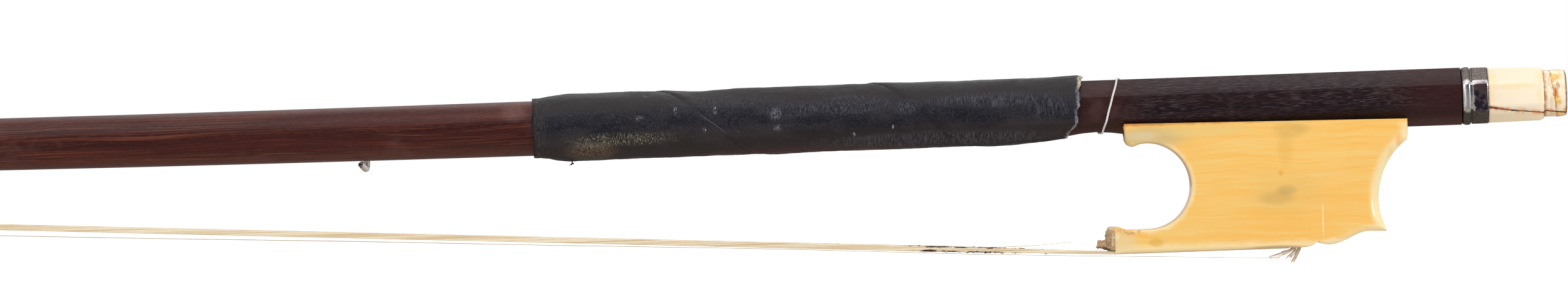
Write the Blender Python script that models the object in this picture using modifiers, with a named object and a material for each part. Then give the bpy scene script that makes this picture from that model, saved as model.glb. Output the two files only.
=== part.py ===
"""Violin bow with an open frog, modelled piece by piece.

Frame: +X runs along the screw axis towards the button, +Z points away from the hair, and the origin is the centre of
the button's flat end. The stick reaches to -X, straight along the screw axis at the handle and cambered after it.
"""

import math

import bmesh
import bpy
from mathutils import Matrix, Vector

MM = 0.001

# Clearances
RUNNING_GAP = 0.12 * MM
SEAT_GAP = 0.1 * MM
HIDDEN_GAP = 0.25 * MM

# Button, from its flat end towards the stick
NIPPLE_LENGTH = 3.5 * MM
NIPPLE_DIAMETER = 7.05 * MM
NIPPLE_EDGE_RADIUS = 0.4 * MM
BUTTON_BODY_LENGTH = 8.4 * MM
BUTTON_ACROSS_FLATS = 8.2 * MM
BUTTON_SHOULDER_RADIUS = 0.7 * MM
RING_BAND_LENGTH = 2.3 * MM
RING_GROOVE_LENGTH = 0.5 * MM
RING_BEAD_LENGTH = 1.1 * MM
RING_ACROSS_FLATS = 8.45 * MM
RING_BEAD_RISE = 0.15 * MM
RING_GROOVE_DEPTH = 0.2 * MM
RING_WALL = 0.8 * MM
SPIGOT_LENGTH = 2.1 * MM

# Screw and eyelet
SCREW_DIAMETER = 3.0 * MM
SCREW_TANG_DIAMETER = 2.3 * MM
SCREW_TANG_LENGTH = 6.0 * MM
SCREW_JOURNAL_DIAMETER = 2.2 * MM
SCREW_JOURNAL_LENGTH = 5.0 * MM
SCREW_RUN_PAST_EYELET = 3.0 * MM
EYELET_LENGTH = 4.6 * MM
EYELET_WIDTH = 3.6 * MM
EYELET_TOP_HEIGHT = 2.0 * MM
EYELET_SHANK_DIAMETER = 3.0 * MM
EYELET_SHANK_LENGTH = 5.5 * MM
EYELET_FROM_NOSE = 20.5 * MM

# Stick
BOW_LENGTH = 725.0 * MM
STICK_ACROSS_FLATS = 8.6 * MM
NECK_DIAMETER = 5.4 * MM
TAPER_POWER = 1.1
TENON_LENGTH = 1.5 * MM
TENON_DIAMETER = 6.3 * MM
HANDLE_LENGTH = 57.0 * MM
CAMBER_START = 114.0 * MM
NECK_RISE = math.radians(9.1)
THUMB_DIP_DEPTH = 0.8 * MM
THUMB_DIP_REACH = 8.0 * MM
THUMB_DIP_FROM_NOSE = 4.4 * MM
STATION_STEP = 20.0 * MM

# Leather grip, binding thread and wire pin, each measured forwards from the frog's nose
GRIP_FROM_NOSE = 6.4 * MM
GRIP_LENGTH = 82.8 * MM
GRIP_THICKNESS = 0.72 * MM
GRIP_EDGE_THICKNESS = 0.3 * MM
GRIP_FRONT_SKIVE = 10.0 * MM
GRIP_REAR_SKIVE = 3.0 * MM
THREAD_DIAMETER = 0.4 * MM
THREAD_FROM_NOSE = 0.96 * MM
THREAD_PITCH = 5.3 * MM
THREAD_TURNS = 1.125
THREAD_START_ANGLE = 112.5
PIN_DIAMETER = 0.85 * MM
PIN_FROM_NOSE = 114.4 * MM

# Frog
FROG_TO_BUTT = 8.3 * MM
FROG_TOP_LENGTH = 42.3 * MM
FROG_HEIGHT = 21.9 * MM
FROG_WIDTH = 9.4 * MM
FROG_EDGE_BEVEL = 0.7 * MM
RAIL_FRONT_HEIGHT = 2.4 * MM
RAIL_REAR_HEIGHT = 3.1 * MM
NOSE_DEPTH = 5.87 * MM
NOSE_RADIUS = 1.2 * MM
THROAT_RADIUS = 6.45 * MM
THROAT_FROM_NOSE = 3.1 * MM
THROAT_CENTRE_DEPTH = 11.9 * MM
TONGUE_REACH = 3.0 * MM
LIP_RISE = 0.5 * MM
MOUTH_SKEW = 1.2 * MM
HEEL_INSET = 3.6 * MM
HEEL_DEPTH = 19.85 * MM
WAIST_RADIUS = 11.1 * MM
REAR_FACE_DEPTH = 6.2 * MM
OGEE_LENGTH = 6.1 * MM
OGEE_RISE = 1.86 * MM
HOLLOW_LENGTH = 2.5 * MM
BULGE_LENGTH = 1.75 * MM
BULGE_DROP = 0.3 * MM
NOTCH_DEPTH = 0.85 * MM
BOTTOM_END_RADIUS = 1.6 * MM

# Hair, channel and mortise
HAIR_SLOPE = math.atan(0.0582)
HAIR_WIDTH_AT_FROG = 6.8 * MM
HAIR_WIDTH_AT_HEAD = 6.0 * MM
HAIR_THICKNESS_FREE = 0.95 * MM
HAIR_THICKNESS_HELD = 0.5 * MM
HAIR_PROUD = 0.1 * MM
HAIR_RIDGES = 12
HAIR_RIDGE_DEPTH = 0.1 * MM
CHANNEL_DEPTH = 0.7 * MM
MORTISE_LENGTH = 11.7 * MM
MORTISE_DEPTH = 7.1 * MM
MORTISE_FROM_NOTCH = 2.5 * MM
WEDGE_LENGTH = 7.5 * MM
WEDGE_MOUTH_HEIGHT = 3.0 * MM
WEDGE_TIP_HEIGHT = 1.3 * MM
WEDGE_PROUD = 0.6 * MM
WEDGE_SPLINTER = 1.5 * MM
PLUG_HEIGHT = 2.5 * MM
KNOT_HEIGHT = 3.0 * MM
KNOT_RADIUS = 1.25 * MM
TUFT_STRANDS = 7
TUFT_LENGTH = 2.6 * MM

# Head
PLATE_LENGTH = 25.0 * MM
PLATE_WIDTH = 10.0 * MM
PLATE_THICKNESS = 1.2 * MM
LINING_THICKNESS = 0.7 * MM
HEAD_HEIGHT = 22.2 * MM
HEAD_THROAT_RADIUS = 8.0 * MM
HEAD_FRONT_AT_THROAT = 19.0 * MM
HEAD_BACK_FLARE = 1.2 * MM
HEAD_NOSE_LIFT = 1.2 * MM
HEAD_MORTISE_LENGTH = 9.0 * MM
HEAD_MORTISE_DEPTH = 8.4 * MM
HEAD_MORTISE_FROM_BACK = 3.6 * MM

RING_POINTS = 32
HALF_RING = RING_POINTS // 2

# Places along the screw axis that follow from the sizes above
BUTTON_FRONT_X = -(NIPPLE_LENGTH + BUTTON_BODY_LENGTH)
RING_FRONT_X = BUTTON_FRONT_X - SEAT_GAP - RING_BAND_LENGTH - RING_GROOVE_LENGTH - RING_BEAD_LENGTH
BUTT_X = RING_FRONT_X - SEAT_GAP
FROG_REAR_X = BUTT_X - FROG_TO_BUTT
NOSE_X = FROG_REAR_X - FROG_TOP_LENGTH
MOUTH_X = NOSE_X - TONGUE_REACH
EYELET_X = NOSE_X + EYELET_FROM_NOSE
FROG_BOTTOM_Z = -FROG_HEIGHT

# How far the frog can travel: forwards until it would reach the thread, backwards with the bow at full tension
SLIDE_FORWARD = 2.65 * MM
SLIDE_BACK = 6.05 * MM

# The heel corner starts the frog's rear outline, and the underside is laid out forwards from it
HEEL_X = FROG_REAR_X - HEEL_INSET
BULGE_X = HEEL_X - HOLLOW_LENGTH - OGEE_LENGTH
NOTCH_X = BULGE_X - BULGE_LENGTH
MORTISE_REAR_X = NOTCH_X - MORTISE_FROM_NOTCH
MORTISE_FRONT_X = MORTISE_REAR_X - MORTISE_LENGTH

HAIR_HELD_Z = FROG_BOTTOM_Z - HAIR_PROUD + HAIR_THICKNESS_HELD / 2

# The head's own axes: along the plate towards the tip, and square to the plate away from the hair
HEAD_ALONG = Vector((-math.cos(HAIR_SLOPE), 0.0, math.sin(HAIR_SLOPE)))
HEAD_UP = Vector((math.sin(HAIR_SLOPE), 0.0, math.cos(HAIR_SLOPE)))
PLATE_BACK_X = -BOW_LENGTH + PLATE_LENGTH * math.cos(HAIR_SLOPE)
PLATE_OFFSET = HAIR_THICKNESS_HELD / 2 + SEAT_GAP
PLATE_BACK = Vector((PLATE_BACK_X, 0.0, HAIR_HELD_Z + (MOUTH_X - PLATE_BACK_X) * math.tan(HAIR_SLOPE)))
PLATE_BACK += HEAD_UP * PLATE_OFFSET
WOOD_BASE = PLATE_THICKNESS + LINING_THICKNESS + 2 * SEAT_GAP


def head_point(along, height, across=0.0):
    """A point given along the plate from its back edge, above its outer face, and across."""
    return PLATE_BACK + HEAD_ALONG * along + HEAD_UP * height + Vector((0.0, across, 0.0))


# The throat's centre, and the stick's end where the head begins
HEAD_THROAT_HEIGHT = HEAD_HEIGHT - NECK_DIAMETER - HEAD_THROAT_RADIUS
NECK_LEAN = NECK_RISE - HAIR_SLOPE
NECK_REACH = HEAD_THROAT_RADIUS + NECK_DIAMETER / 2
NECK = head_point(
    -HEAD_THROAT_RADIUS - NECK_REACH * math.sin(NECK_LEAN),
    HEAD_THROAT_HEIGHT + NECK_REACH * math.cos(NECK_LEAN),
)
TAPER_START_X = BUTT_X - HANDLE_LENGTH
CAMBER_START_X = BUTT_X - CAMBER_START
CAMBER_POWER = math.tan(NECK_RISE) * (CAMBER_START_X - NECK.x) / NECK.z


def clear_scene():
    for thing in list(bpy.data.objects):
        bpy.data.objects.remove(thing, do_unlink=True)


def new_collection(name):
    collection = bpy.data.collections.new(name)
    bpy.context.scene.collection.children.link(collection)
    return collection


def new_material(name, colour, roughness, metallic=0.0):
    material = bpy.data.materials.new(name)
    material.use_nodes = True
    shader = material.node_tree.nodes["Principled BSDF"]
    shader.inputs["Base Color"].default_value = (*colour, 1.0)
    shader.inputs["Roughness"].default_value = roughness
    shader.inputs["Metallic"].default_value = metallic
    material.diffuse_color = (*colour, 1.0)
    return material


def add_object(name, mesh, material, collection, parent=None):
    thing = bpy.data.objects.new(name, mesh)
    collection.objects.link(thing)
    if material:
        mesh.materials.append(material)
    thing.parent = parent
    if collection is CUTTERS:
        thing.hide_render = True
        thing.display_type = "WIRE"
    return thing


def finish_mesh(name, bm, smooth_angle=30.0):
    """Turns a closed bmesh into a mesh that faces outwards, smooth but for its sharp edges."""
    bmesh.ops.remove_doubles(bm, verts=bm.verts, dist=0.001 * MM)
    bmesh.ops.recalc_face_normals(bm, faces=bm.faces)
    mesh = bpy.data.meshes.new(name)
    bm.to_mesh(mesh)
    bm.free()
    mesh.shade_smooth()
    mesh.set_sharp_from_angle(angle=math.radians(smooth_angle))
    return mesh


def cap_across(bm, ring):
    """Closes a ring that is symmetric across Y with strips from side to side, so the cap may curve."""
    count = len(ring)
    bm.faces.new((ring[0], ring[1], ring[-1]))
    for k in range(1, count // 2 - 1):
        bm.faces.new((ring[k], ring[k + 1], ring[count - k - 1], ring[count - k]))
    middle = count // 2
    bm.faces.new((ring[middle - 1], ring[middle], ring[middle + 1]))


def loft(rings, joined=False, cap=cap_across):
    """Skins a row of rings with the same number of points. A joined loft runs on from its last ring to its first."""
    bm = bmesh.new()
    rows = [[bm.verts.new(point) for point in ring] for ring in rings]
    following = rows[1:] + rows[:1] if joined else rows[1:]
    for row, after in zip(rows, following):
        for k in range(len(row)):
            nxt = (k + 1) % len(row)
            bm.faces.new((row[k], row[nxt], after[nxt], after[k]))
    if not joined:
        cap(bm, rows[0])
        cap(bm, rows[-1])
    return bm


def flat_cap(bm, ring):
    bm.faces.new(ring)


def turned(name, profile, steps, material, collection, parent=None, first_angle=0.0):
    """A shape turned about the screw axis. The profile runs from its rear, the +X end, as (x, radius) pairs."""
    mesh = bpy.data.meshes.new(name)
    swing = (math.cos(first_angle), math.sin(first_angle))
    points = [(radius * swing[0], radius * swing[1], x) for x, radius in profile]
    edges = [(k, k + 1) for k in range(len(points) - 1)]
    mesh.from_pydata(points, edges, [])
    thing = add_object(name, mesh, material, collection, parent)
    thing.rotation_euler = (0.0, math.radians(90.0), 0.0)
    screw = thing.modifiers.new("turn", "SCREW")
    screw.axis = "Z"
    screw.steps = steps
    screw.render_steps = steps
    screw.use_smooth_shade = steps > 8
    screw.use_merge_vertices = True
    screw.merge_threshold = 0.01 * MM
    return thing


def octagonal(name, profile, material, collection, parent=None):
    """As turned, with eight flats, the profile giving (x, width across flats)."""
    corner = math.radians(22.5)
    by_corner = [(x, width / 2 / math.cos(corner)) for x, width in profile]
    return turned(name, by_corner, 8, material, collection, parent, first_angle=corner)


def rod(name, rear_x, front_x, diameter, steps=24):
    """A cutter along the screw axis."""
    radius = diameter / 2
    profile = ((rear_x, 0.0), (rear_x, radius), (front_x, radius), (front_x, 0.0))
    return turned(name, profile, steps, None, CUTTERS)


def upright(name, x, bottom_z, top_z, diameter, collection, material=None, parent=None, steps=20):
    """A cylinder along Z that stands on the bow's middle plane."""
    bm = bmesh.new()
    bmesh.ops.create_cone(
        bm, cap_ends=True, segments=steps, radius1=diameter / 2, radius2=diameter / 2, depth=top_z - bottom_z
    )
    bmesh.ops.translate(bm, verts=bm.verts, vec=(x, 0.0, (bottom_z + top_z) / 2))
    return add_object(name, finish_mesh(name, bm), material, collection, parent)


def box_mesh(name, low, high, place=None):
    """A box between two corners, moved by a function of a point where one is given."""
    bm = bmesh.new()
    bmesh.ops.create_cube(bm, size=1.0)
    for vert in bm.verts:
        for axis in range(3):
            vert.co[axis] = low[axis] if vert.co[axis] < 0 else high[axis]
        if place:
            vert.co = place(*vert.co)
    return finish_mesh(name, bm)


def head_box(along, height, across):
    return head_point(along, height, across)


def boolean(thing, other, operation="DIFFERENCE"):
    step = thing.modifiers.new(other.name, "BOOLEAN")
    step.operation = operation
    step.solver = "EXACT"
    step.object = other


def baked(thing):
    """The object's shape with its modifiers applied, as a mesh in world space."""
    bpy.context.view_layer.update()
    graph = bpy.context.evaluated_depsgraph_get()
    mesh = bpy.data.meshes.new_from_object(thing.evaluated_get(graph))
    mesh.transform(thing.matrix_world)
    return mesh


def outline_mesh(name, points, half_width):
    """Extrudes a flat outline of (x, z) points both ways across the bow."""
    curve = bpy.data.curves.new(name, "CURVE")
    curve.dimensions = "2D"
    curve.fill_mode = "BOTH"
    curve.extrude = half_width
    spline = curve.splines.new("POLY")
    spline.points.add(len(points) - 1)
    for target, (x, z) in zip(spline.points, points):
        target.co = (x, z, 0.0, 1.0)
    spline.use_cyclic_u = True
    thing = bpy.data.objects.new(name, curve)
    CUTTERS.objects.link(thing)
    thing.rotation_euler = (math.radians(90.0), 0.0, 0.0)
    mesh = baked(thing)
    bpy.data.objects.remove(thing, do_unlink=True)
    bm = bmesh.new()
    bm.from_mesh(mesh)
    bmesh.ops.remove_doubles(bm, verts=bm.verts, dist=0.001 * MM)
    bmesh.ops.dissolve_limit(bm, angle_limit=math.radians(0.1), verts=bm.verts, edges=bm.edges)
    bmesh.ops.recalc_face_normals(bm, faces=bm.faces)
    return bm


def wire(name, points, diameter, material, parent=None, closed=False, resolution=2):
    """A tube along a row of points, as a mesh."""
    curve = bpy.data.curves.new(name, "CURVE")
    curve.dimensions = "3D"
    curve.bevel_depth = diameter / 2
    curve.bevel_resolution = resolution
    curve.use_fill_caps = True
    spline = curve.splines.new("POLY")
    spline.points.add(len(points) - 1)
    for target, point in zip(spline.points, points):
        target.co = (*point, 1.0)
    spline.use_cyclic_u = closed
    thing = bpy.data.objects.new(name, curve)
    CUTTERS.objects.link(thing)
    mesh = baked(thing)
    bpy.data.objects.remove(thing, do_unlink=True)
    bm = bmesh.new()
    bm.from_mesh(mesh)
    return add_object(name, finish_mesh(name, bm, 60.0), material, BOW, parent)


def arc(centre, radius, start, end, count):
    """Points (x, z) along an arc, angles in degrees from +X towards +Z."""
    angles = [math.radians(start + (end - start) * k / count) for k in range(count + 1)]
    return [(centre[0] + radius * math.cos(a), centre[1] + radius * math.sin(a)) for a in angles]


def smooth_step(value):
    value = min(1.0, max(0.0, value))
    return value * value * (3.0 - 2.0 * value)


# Stick

def stick_diameter(x):
    beyond = max(0.0, TAPER_START_X - x) / (TAPER_START_X - NECK.x)
    return STICK_ACROSS_FLATS - (STICK_ACROSS_FLATS - NECK_DIAMETER) * beyond**TAPER_POWER


def stick_height(x):
    """Height of the stick's centreline: level along the handle, then rising to the head."""
    beyond = max(0.0, CAMBER_START_X - x) / (CAMBER_START_X - NECK.x)
    return NECK.z * beyond**CAMBER_POWER


def stick_rise(x):
    beyond = max(0.0, CAMBER_START_X - x) / (CAMBER_START_X - NECK.x)
    return math.atan(NECK.z * CAMBER_POWER * beyond ** (CAMBER_POWER - 1) / (CAMBER_START_X - NECK.x))


def flatness(x):
    """One where the stick is octagonal, none where it is round. The change hides under the grip."""
    front = NOSE_X - GRIP_FROM_NOSE - GRIP_LENGTH * 0.9
    rear = NOSE_X - GRIP_FROM_NOSE - GRIP_LENGTH * 0.1
    return smooth_step((x - front) / (rear - front))


def thumb_dip(x):
    away = (x - (NOSE_X - THUMB_DIP_FROM_NOSE)) / THUMB_DIP_REACH
    return THUMB_DIP_DEPTH * math.cos(away * math.pi / 2) ** 2 if abs(away) < 1 else 0.0


def stick_point(x, angle, growth=0.0):
    """A point of the stick's surface, moved out by growth. The angle starts at the side next to the hair."""
    radius = stick_diameter(x) / 2 + growth
    from_flat = (angle + math.radians(22.5)) % math.radians(45.0) - math.radians(22.5)
    facetted = radius / math.cos(from_flat)
    radius += (facetted - radius) * flatness(x)
    rise = stick_rise(x)
    down = radius * math.cos(angle)
    point = Vector((x - down * math.sin(rise), radius * math.sin(angle), stick_height(x) - down * math.cos(rise)))
    worn_part = max(0.0, -point.z / (stick_diameter(x) / 2) - 0.4) / 0.6
    point.z += thumb_dip(x) * min(1.0, worn_part)
    return point


def stick_ring(x, growth=0.0):
    return [stick_point(x, math.tau * k / RING_POINTS, growth) for k in range(RING_POINTS)]


def dip_stations():
    centre = NOSE_X - THUMB_DIP_FROM_NOSE
    return [centre + THUMB_DIP_REACH * part for part in (1.0, 0.6, 0.3, 0.0, -0.3, -0.6, -1.0)]


def grip_stations():
    """Stations under the grip, which the grip's own inner wall follows."""
    rear = NOSE_X - GRIP_FROM_NOSE
    front = rear - GRIP_LENGTH
    shares = [1.0, 0.93, 0.85, 0.75, 0.65, 0.55, 0.45, 0.35, 0.25, 0.15]
    within = [front + GRIP_LENGTH * share for share in shares]
    return within + [front + GRIP_FRONT_SKIVE, front + GRIP_FRONT_SKIVE / 2, front]


def stick_stations():
    """Places of the stick's rings from the butt to the neck."""
    front = grip_stations()[-1]
    steps = max(2, round((front - NECK.x) / STATION_STEP))
    beyond = [front + (NECK.x - front) * k / steps for k in range(1, steps)]
    own = {round(x / MM, 4): x for x in dip_stations() + grip_stations()}
    return [own[key] for key in sorted(own, reverse=True)] + beyond


def butt_rings():
    """The round tenon, which turns inside the ring, and the stick's octagonal end."""
    rings = []
    for x in (BUTT_X + TENON_LENGTH, BUTT_X):
        circle = []
        for k in range(RING_POINTS):
            angle = math.tau * k / RING_POINTS
            circle.append(Vector((x, TENON_DIAMETER / 2 * math.sin(angle), -TENON_DIAMETER / 2 * math.cos(angle))))
        rings.append(circle)
    return rings + [stick_ring(BUTT_X)]


# Half of the head's section from its back to the ridge in front: (place in the ring, share of length, of half width)
HEAD_SECTION = (
    (0, 0.0, 0.0), (2, 0.015, 0.65), (3, 0.06, 1.0), (9, 0.55, 0.98), (11, 0.72, 0.86), (13, 0.88, 0.5),
    (15, 0.985, 0.13), (16, 1.0, 0.0),
)
HALF_WIDTHS = ((0.0, NECK_DIAMETER / 2), (0.35, 2.9 * MM), (0.7, 4.0 * MM), (1.0, PLATE_WIDTH / 2))
FAN_SHARE = 0.62
FAN_STEPS = 10
FOOT_STEPS = 4


def between(table, at):
    """Reads a value from (place, value...) rows, straight from row to row."""
    for before, after in zip(table, table[1:]):
        if at <= after[0]:
            share = (at - before[0]) / (after[0] - before[0])
            return [a + (b - a) * share for a, b in zip(before[1:], after[1:])]
    return list(table[-1][1:])


def nose_lift(along):
    """The plate and the head's foot turn up towards the tip."""
    share = max(0.0, along / PLATE_LENGTH - 0.55) / 0.45
    return HEAD_NOSE_LIFT * share**2


def foot_edges(height):
    """Back and front of the head at a height below the throat's centre."""
    share = 1.0 - height / HEAD_THROAT_HEIGHT
    reach = PLATE_LENGTH - HEAD_FRONT_AT_THROAT
    return -HEAD_BACK_FLARE * share**2, HEAD_FRONT_AT_THROAT + reach * (0.72 * share + 0.28 * share**2)


def head_ring(back, front, half_width, squareness, lift):
    """A ring between the head's back and front points, from the stick's circle to the head's own section."""
    ring = []
    for k in range(RING_POINTS):
        place = min(k, RING_POINTS - k)
        side = 1.0 if k <= HALF_RING else -1.0
        angle = math.pi * place / HALF_RING
        length, width = between(HEAD_SECTION, place)
        length = (1 - math.cos(angle)) / 2 * (1 - squareness) + length * squareness
        width = math.sin(angle) * (1 - squareness) + width * squareness
        along = back[0] + (front[0] - back[0]) * length
        height = back[1] + (front[1] - back[1]) * length
        ring.append(head_point(along, height + lift * nose_lift(along), side * width * half_width))
    return ring


def fan_ring(share):
    """A ring of the bend from the stick, share 0, down to the level of the throat's centre, share 1."""
    angle = (math.pi / 2 + NECK_LEAN) * (1 - share)
    inner = HEAD_THROAT_RADIUS
    top = inner + NECK_DIAMETER
    outer = top + (HEAD_FRONT_AT_THROAT + HEAD_THROAT_RADIUS - top) * (1 - math.cos(share * math.pi / 2))
    points = []
    for reach in (inner, outer):
        points.append((-HEAD_THROAT_RADIUS + reach * math.cos(angle), HEAD_THROAT_HEIGHT + reach * math.sin(angle)))
    squareness = smooth_step(share * 1.3)
    return head_ring(points[0], points[1], between(HALF_WIDTHS, share * FAN_SHARE)[0], squareness, 0.0)


def foot_ring(height):
    """A level ring of the head between the throat's centre and the plate's outer face."""
    share = 1.0 - height / HEAD_THROAT_HEIGHT
    back, front = foot_edges(height)
    half_width = between(HALF_WIDTHS, FAN_SHARE + (1 - FAN_SHARE) * share)[0]
    return head_ring((back, height), (front, height), half_width, 1.0, share)


def make_stick():
    rings = butt_rings() + [stick_ring(x) for x in stick_stations()]
    rings += [fan_ring(k / FAN_STEPS) for k in range(FAN_STEPS + 1)]
    drop = (HEAD_THROAT_HEIGHT - WOOD_BASE) / FOOT_STEPS
    rings += [foot_ring(HEAD_THROAT_HEIGHT - drop * k) for k in range(1, FOOT_STEPS + 1)]
    stick = add_object("stick", finish_mesh("stick", loft(rings)), MATERIALS["wood"], BOW)
    bore = SCREW_DIAMETER + 2 * RUNNING_GAP
    boolean(stick, rod("screw_bore", BUTT_X + 2 * TENON_LENGTH, SCREW_FRONT_X - HIDDEN_GAP, bore))
    pilot = SCREW_JOURNAL_DIAMETER + 2 * RUNNING_GAP
    pilot_front = SCREW_FRONT_X - SCREW_JOURNAL_LENGTH - HIDDEN_GAP
    boolean(stick, rod("journal_bore", SCREW_FRONT_X + MM, pilot_front, pilot))
    boolean(stick, eyelet_slot())
    boolean(stick, pin_hole())
    boolean(stick, head_mortise())


SCREW_FRONT_X = EYELET_X - EYELET_LENGTH / 2 - SLIDE_FORWARD - SCREW_RUN_PAST_EYELET


def eyelet_slot():
    half = EYELET_WIDTH / 2 + RUNNING_GAP
    front = EYELET_X - EYELET_LENGTH / 2 - SLIDE_FORWARD - HIDDEN_GAP
    rear = EYELET_X + EYELET_LENGTH / 2 + SLIDE_BACK + HIDDEN_GAP
    top = EYELET_TOP_HEIGHT + HIDDEN_GAP
    mesh = box_mesh("eyelet_slot", (front, -half, -STICK_ACROSS_FLATS), (rear, half, top))
    return add_object("eyelet_slot", mesh, None, CUTTERS)


def pin_place():
    x = NOSE_X - PIN_FROM_NOSE
    return Vector((x, 0.0, stick_point(x, 0.0).z))


def pin_hole():
    place = pin_place()
    return upright(
        "pin_hole", place.x, place.z - MM, place.z + 1.4 * MM, PIN_DIAMETER + 2 * RUNNING_GAP, CUTTERS, steps=12
    )


def head_mortise():
    half = HAIR_WIDTH_AT_HEAD / 2 + HIDDEN_GAP
    low = (HEAD_MORTISE_FROM_BACK, -2 * MM, -half)
    high = (HEAD_MORTISE_FROM_BACK + HEAD_MORTISE_LENGTH, HEAD_MORTISE_DEPTH, half)
    return add_object("head_mortise", box_mesh("head_mortise", low, high, head_box), None, CUTTERS)


def make_head_face():
    """The ivory plate and the dark lining, slices of the head's own form."""
    mortise = bpy.data.objects["head_mortise"]
    plate = loft([foot_ring(0.0), foot_ring(PLATE_THICKNESS)])
    face = add_object("head_face_plate", finish_mesh("head_face_plate", plate), MATERIALS["ivory"], BOW)
    boolean(face, mortise)
    under = PLATE_THICKNESS + SEAT_GAP
    slice_ = loft([foot_ring(under), foot_ring(under + LINING_THICKNESS)])
    lining = add_object("head_face_lining", finish_mesh("head_face_lining", slice_), MATERIALS["lining"], BOW)
    boolean(lining, mortise)


# What lies on the stick

def grip_thickness(x):
    rear = NOSE_X - GRIP_FROM_NOSE
    front = rear - GRIP_LENGTH
    from_front = smooth_step((x - front) / GRIP_FRONT_SKIVE)
    from_rear = smooth_step((rear - x) / GRIP_REAR_SKIVE + 0.4)
    return GRIP_EDGE_THICKNESS + (GRIP_THICKNESS - GRIP_EDGE_THICKNESS) * min(from_front, from_rear)


def make_grip():
    """A leather sleeve: its inner wall follows the stick, and both its ends are pared thin."""
    places = [x for x in stick_stations() if x >= grip_stations()[-1] and x <= NOSE_X - GRIP_FROM_NOSE]
    inner = [stick_ring(x, SEAT_GAP) for x in places]
    outer = [stick_ring(x, SEAT_GAP + grip_thickness(x)) for x in places]
    sleeve = loft(inner + outer[::-1], joined=True)
    add_object("leather_grip", finish_mesh("leather_grip", sleeve), MATERIALS["leather"], BOW)


def make_thread():
    """The last turn of a binding: it starts over the stick's top and winds forwards to the grip's edge."""
    growth = THREAD_DIAMETER / 2 + SEAT_GAP
    steps = round(THREAD_TURNS * RING_POINTS)
    first = round(THREAD_START_ANGLE / 360 * RING_POINTS)
    points = []
    for k in range(steps + 1):
        x = NOSE_X - THREAD_FROM_NOSE - THREAD_PITCH * (first + k - HALF_RING) / RING_POINTS
        points.append(stick_point(x, math.tau * (first + k) / RING_POINTS, growth))
    apart = [(points[a] - points[b]).length for a in range(len(points)) for b in range(a - 8)]
    print(f"binding_thread: least gap to itself {(min(apart) - THREAD_DIAMETER) / MM:.2f} mm")
    wire("binding_thread", points, THREAD_DIAMETER, MATERIALS["thread"])


def make_pin():
    """A wire end that comes out of the stick, turns back on itself and ends cut off."""
    bend = ((0.0, 1.1), (0.02, 0.3), (0.12, -0.3), (-0.05, -0.85), (-0.4, -1.2), (-0.8, -0.95), (-1.15, -0.5))
    points = [pin_place() + Vector((along * MM, 0.0, up * MM)) for along, up in bend]
    wire("wire_pin", points, PIN_DIAMETER, MATERIALS["silver"])


# Button and screw

def make_button(parent):
    ring_rear = BUTTON_FRONT_X - SEAT_GAP
    groove_rear = ring_rear - RING_BAND_LENGTH
    bead_rear = groove_rear - RING_GROOVE_LENGTH
    groove = RING_ACROSS_FLATS - 2 * RING_GROOVE_DEPTH
    bead = RING_ACROSS_FLATS + 2 * RING_BEAD_RISE
    profile = (
        (ring_rear, 0.0),
        (ring_rear, RING_ACROSS_FLATS),
        (groove_rear, RING_ACROSS_FLATS),
        (groove_rear - 0.1 * MM, groove),
        (bead_rear, groove),
        (bead_rear - 0.25 * RING_BEAD_LENGTH, bead - RING_BEAD_RISE),
        (bead_rear - 0.6 * RING_BEAD_LENGTH, bead),
        (RING_FRONT_X + 0.1 * MM, bead),
        (RING_FRONT_X, bead - RING_BEAD_RISE),
        (RING_FRONT_X, 0.0),
    )
    ring = octagonal("button_ring", profile, MATERIALS["silver"], BOW, parent)
    inside = RING_ACROSS_FLATS - 2 * RING_WALL
    boolean(ring, rod("ring_bore", ring_rear + MM, RING_FRONT_X - MM, inside, steps=32))

    shoulder_x = -NIPPLE_LENGTH
    inner_edge = BUTTON_ACROSS_FLATS - 2 * BUTTON_SHOULDER_RADIUS
    body = [(shoulder_x, 0.0)]
    for k in range(4):
        turn = math.radians(90.0 * (1 - k / 3))
        x = shoulder_x - BUTTON_SHOULDER_RADIUS * (1 - math.sin(turn))
        body.append((x, inner_edge + 2 * BUTTON_SHOULDER_RADIUS * math.cos(turn)))
    body += [(BUTTON_FRONT_X, BUTTON_ACROSS_FLATS), (BUTTON_FRONT_X, 0.0)]
    button = octagonal("button", body, MATERIALS["ivory"], BOW, parent)

    nipple = NIPPLE_DIAMETER / 2
    spigot = inside / 2 - SEAT_GAP
    spigot_x = BUTTON_FRONT_X - SPIGOT_LENGTH
    core = (
        (0.0, 0.0),
        (0.0, nipple - NIPPLE_EDGE_RADIUS),
        (-0.3 * NIPPLE_EDGE_RADIUS, nipple - 0.3 * NIPPLE_EDGE_RADIUS),
        (-NIPPLE_EDGE_RADIUS, nipple),
        (shoulder_x + 0.4 * MM, nipple),
        (shoulder_x + 0.2 * MM, nipple - 0.12 * MM),
        (shoulder_x - MM, nipple - 0.12 * MM),
        (shoulder_x - MM, spigot),
        (spigot_x, spigot),
        (spigot_x, 0.0),
    )
    boolean(button, turned("button_core", core, 32, None, CUTTERS), "UNION")
    tang_hole = SCREW_TANG_DIAMETER + 2 * SEAT_GAP
    tang_rear = spigot_x + SCREW_TANG_LENGTH + SEAT_GAP
    boolean(button, rod("tang_hole", tang_rear, spigot_x - MM, tang_hole))
    return spigot_x


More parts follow.
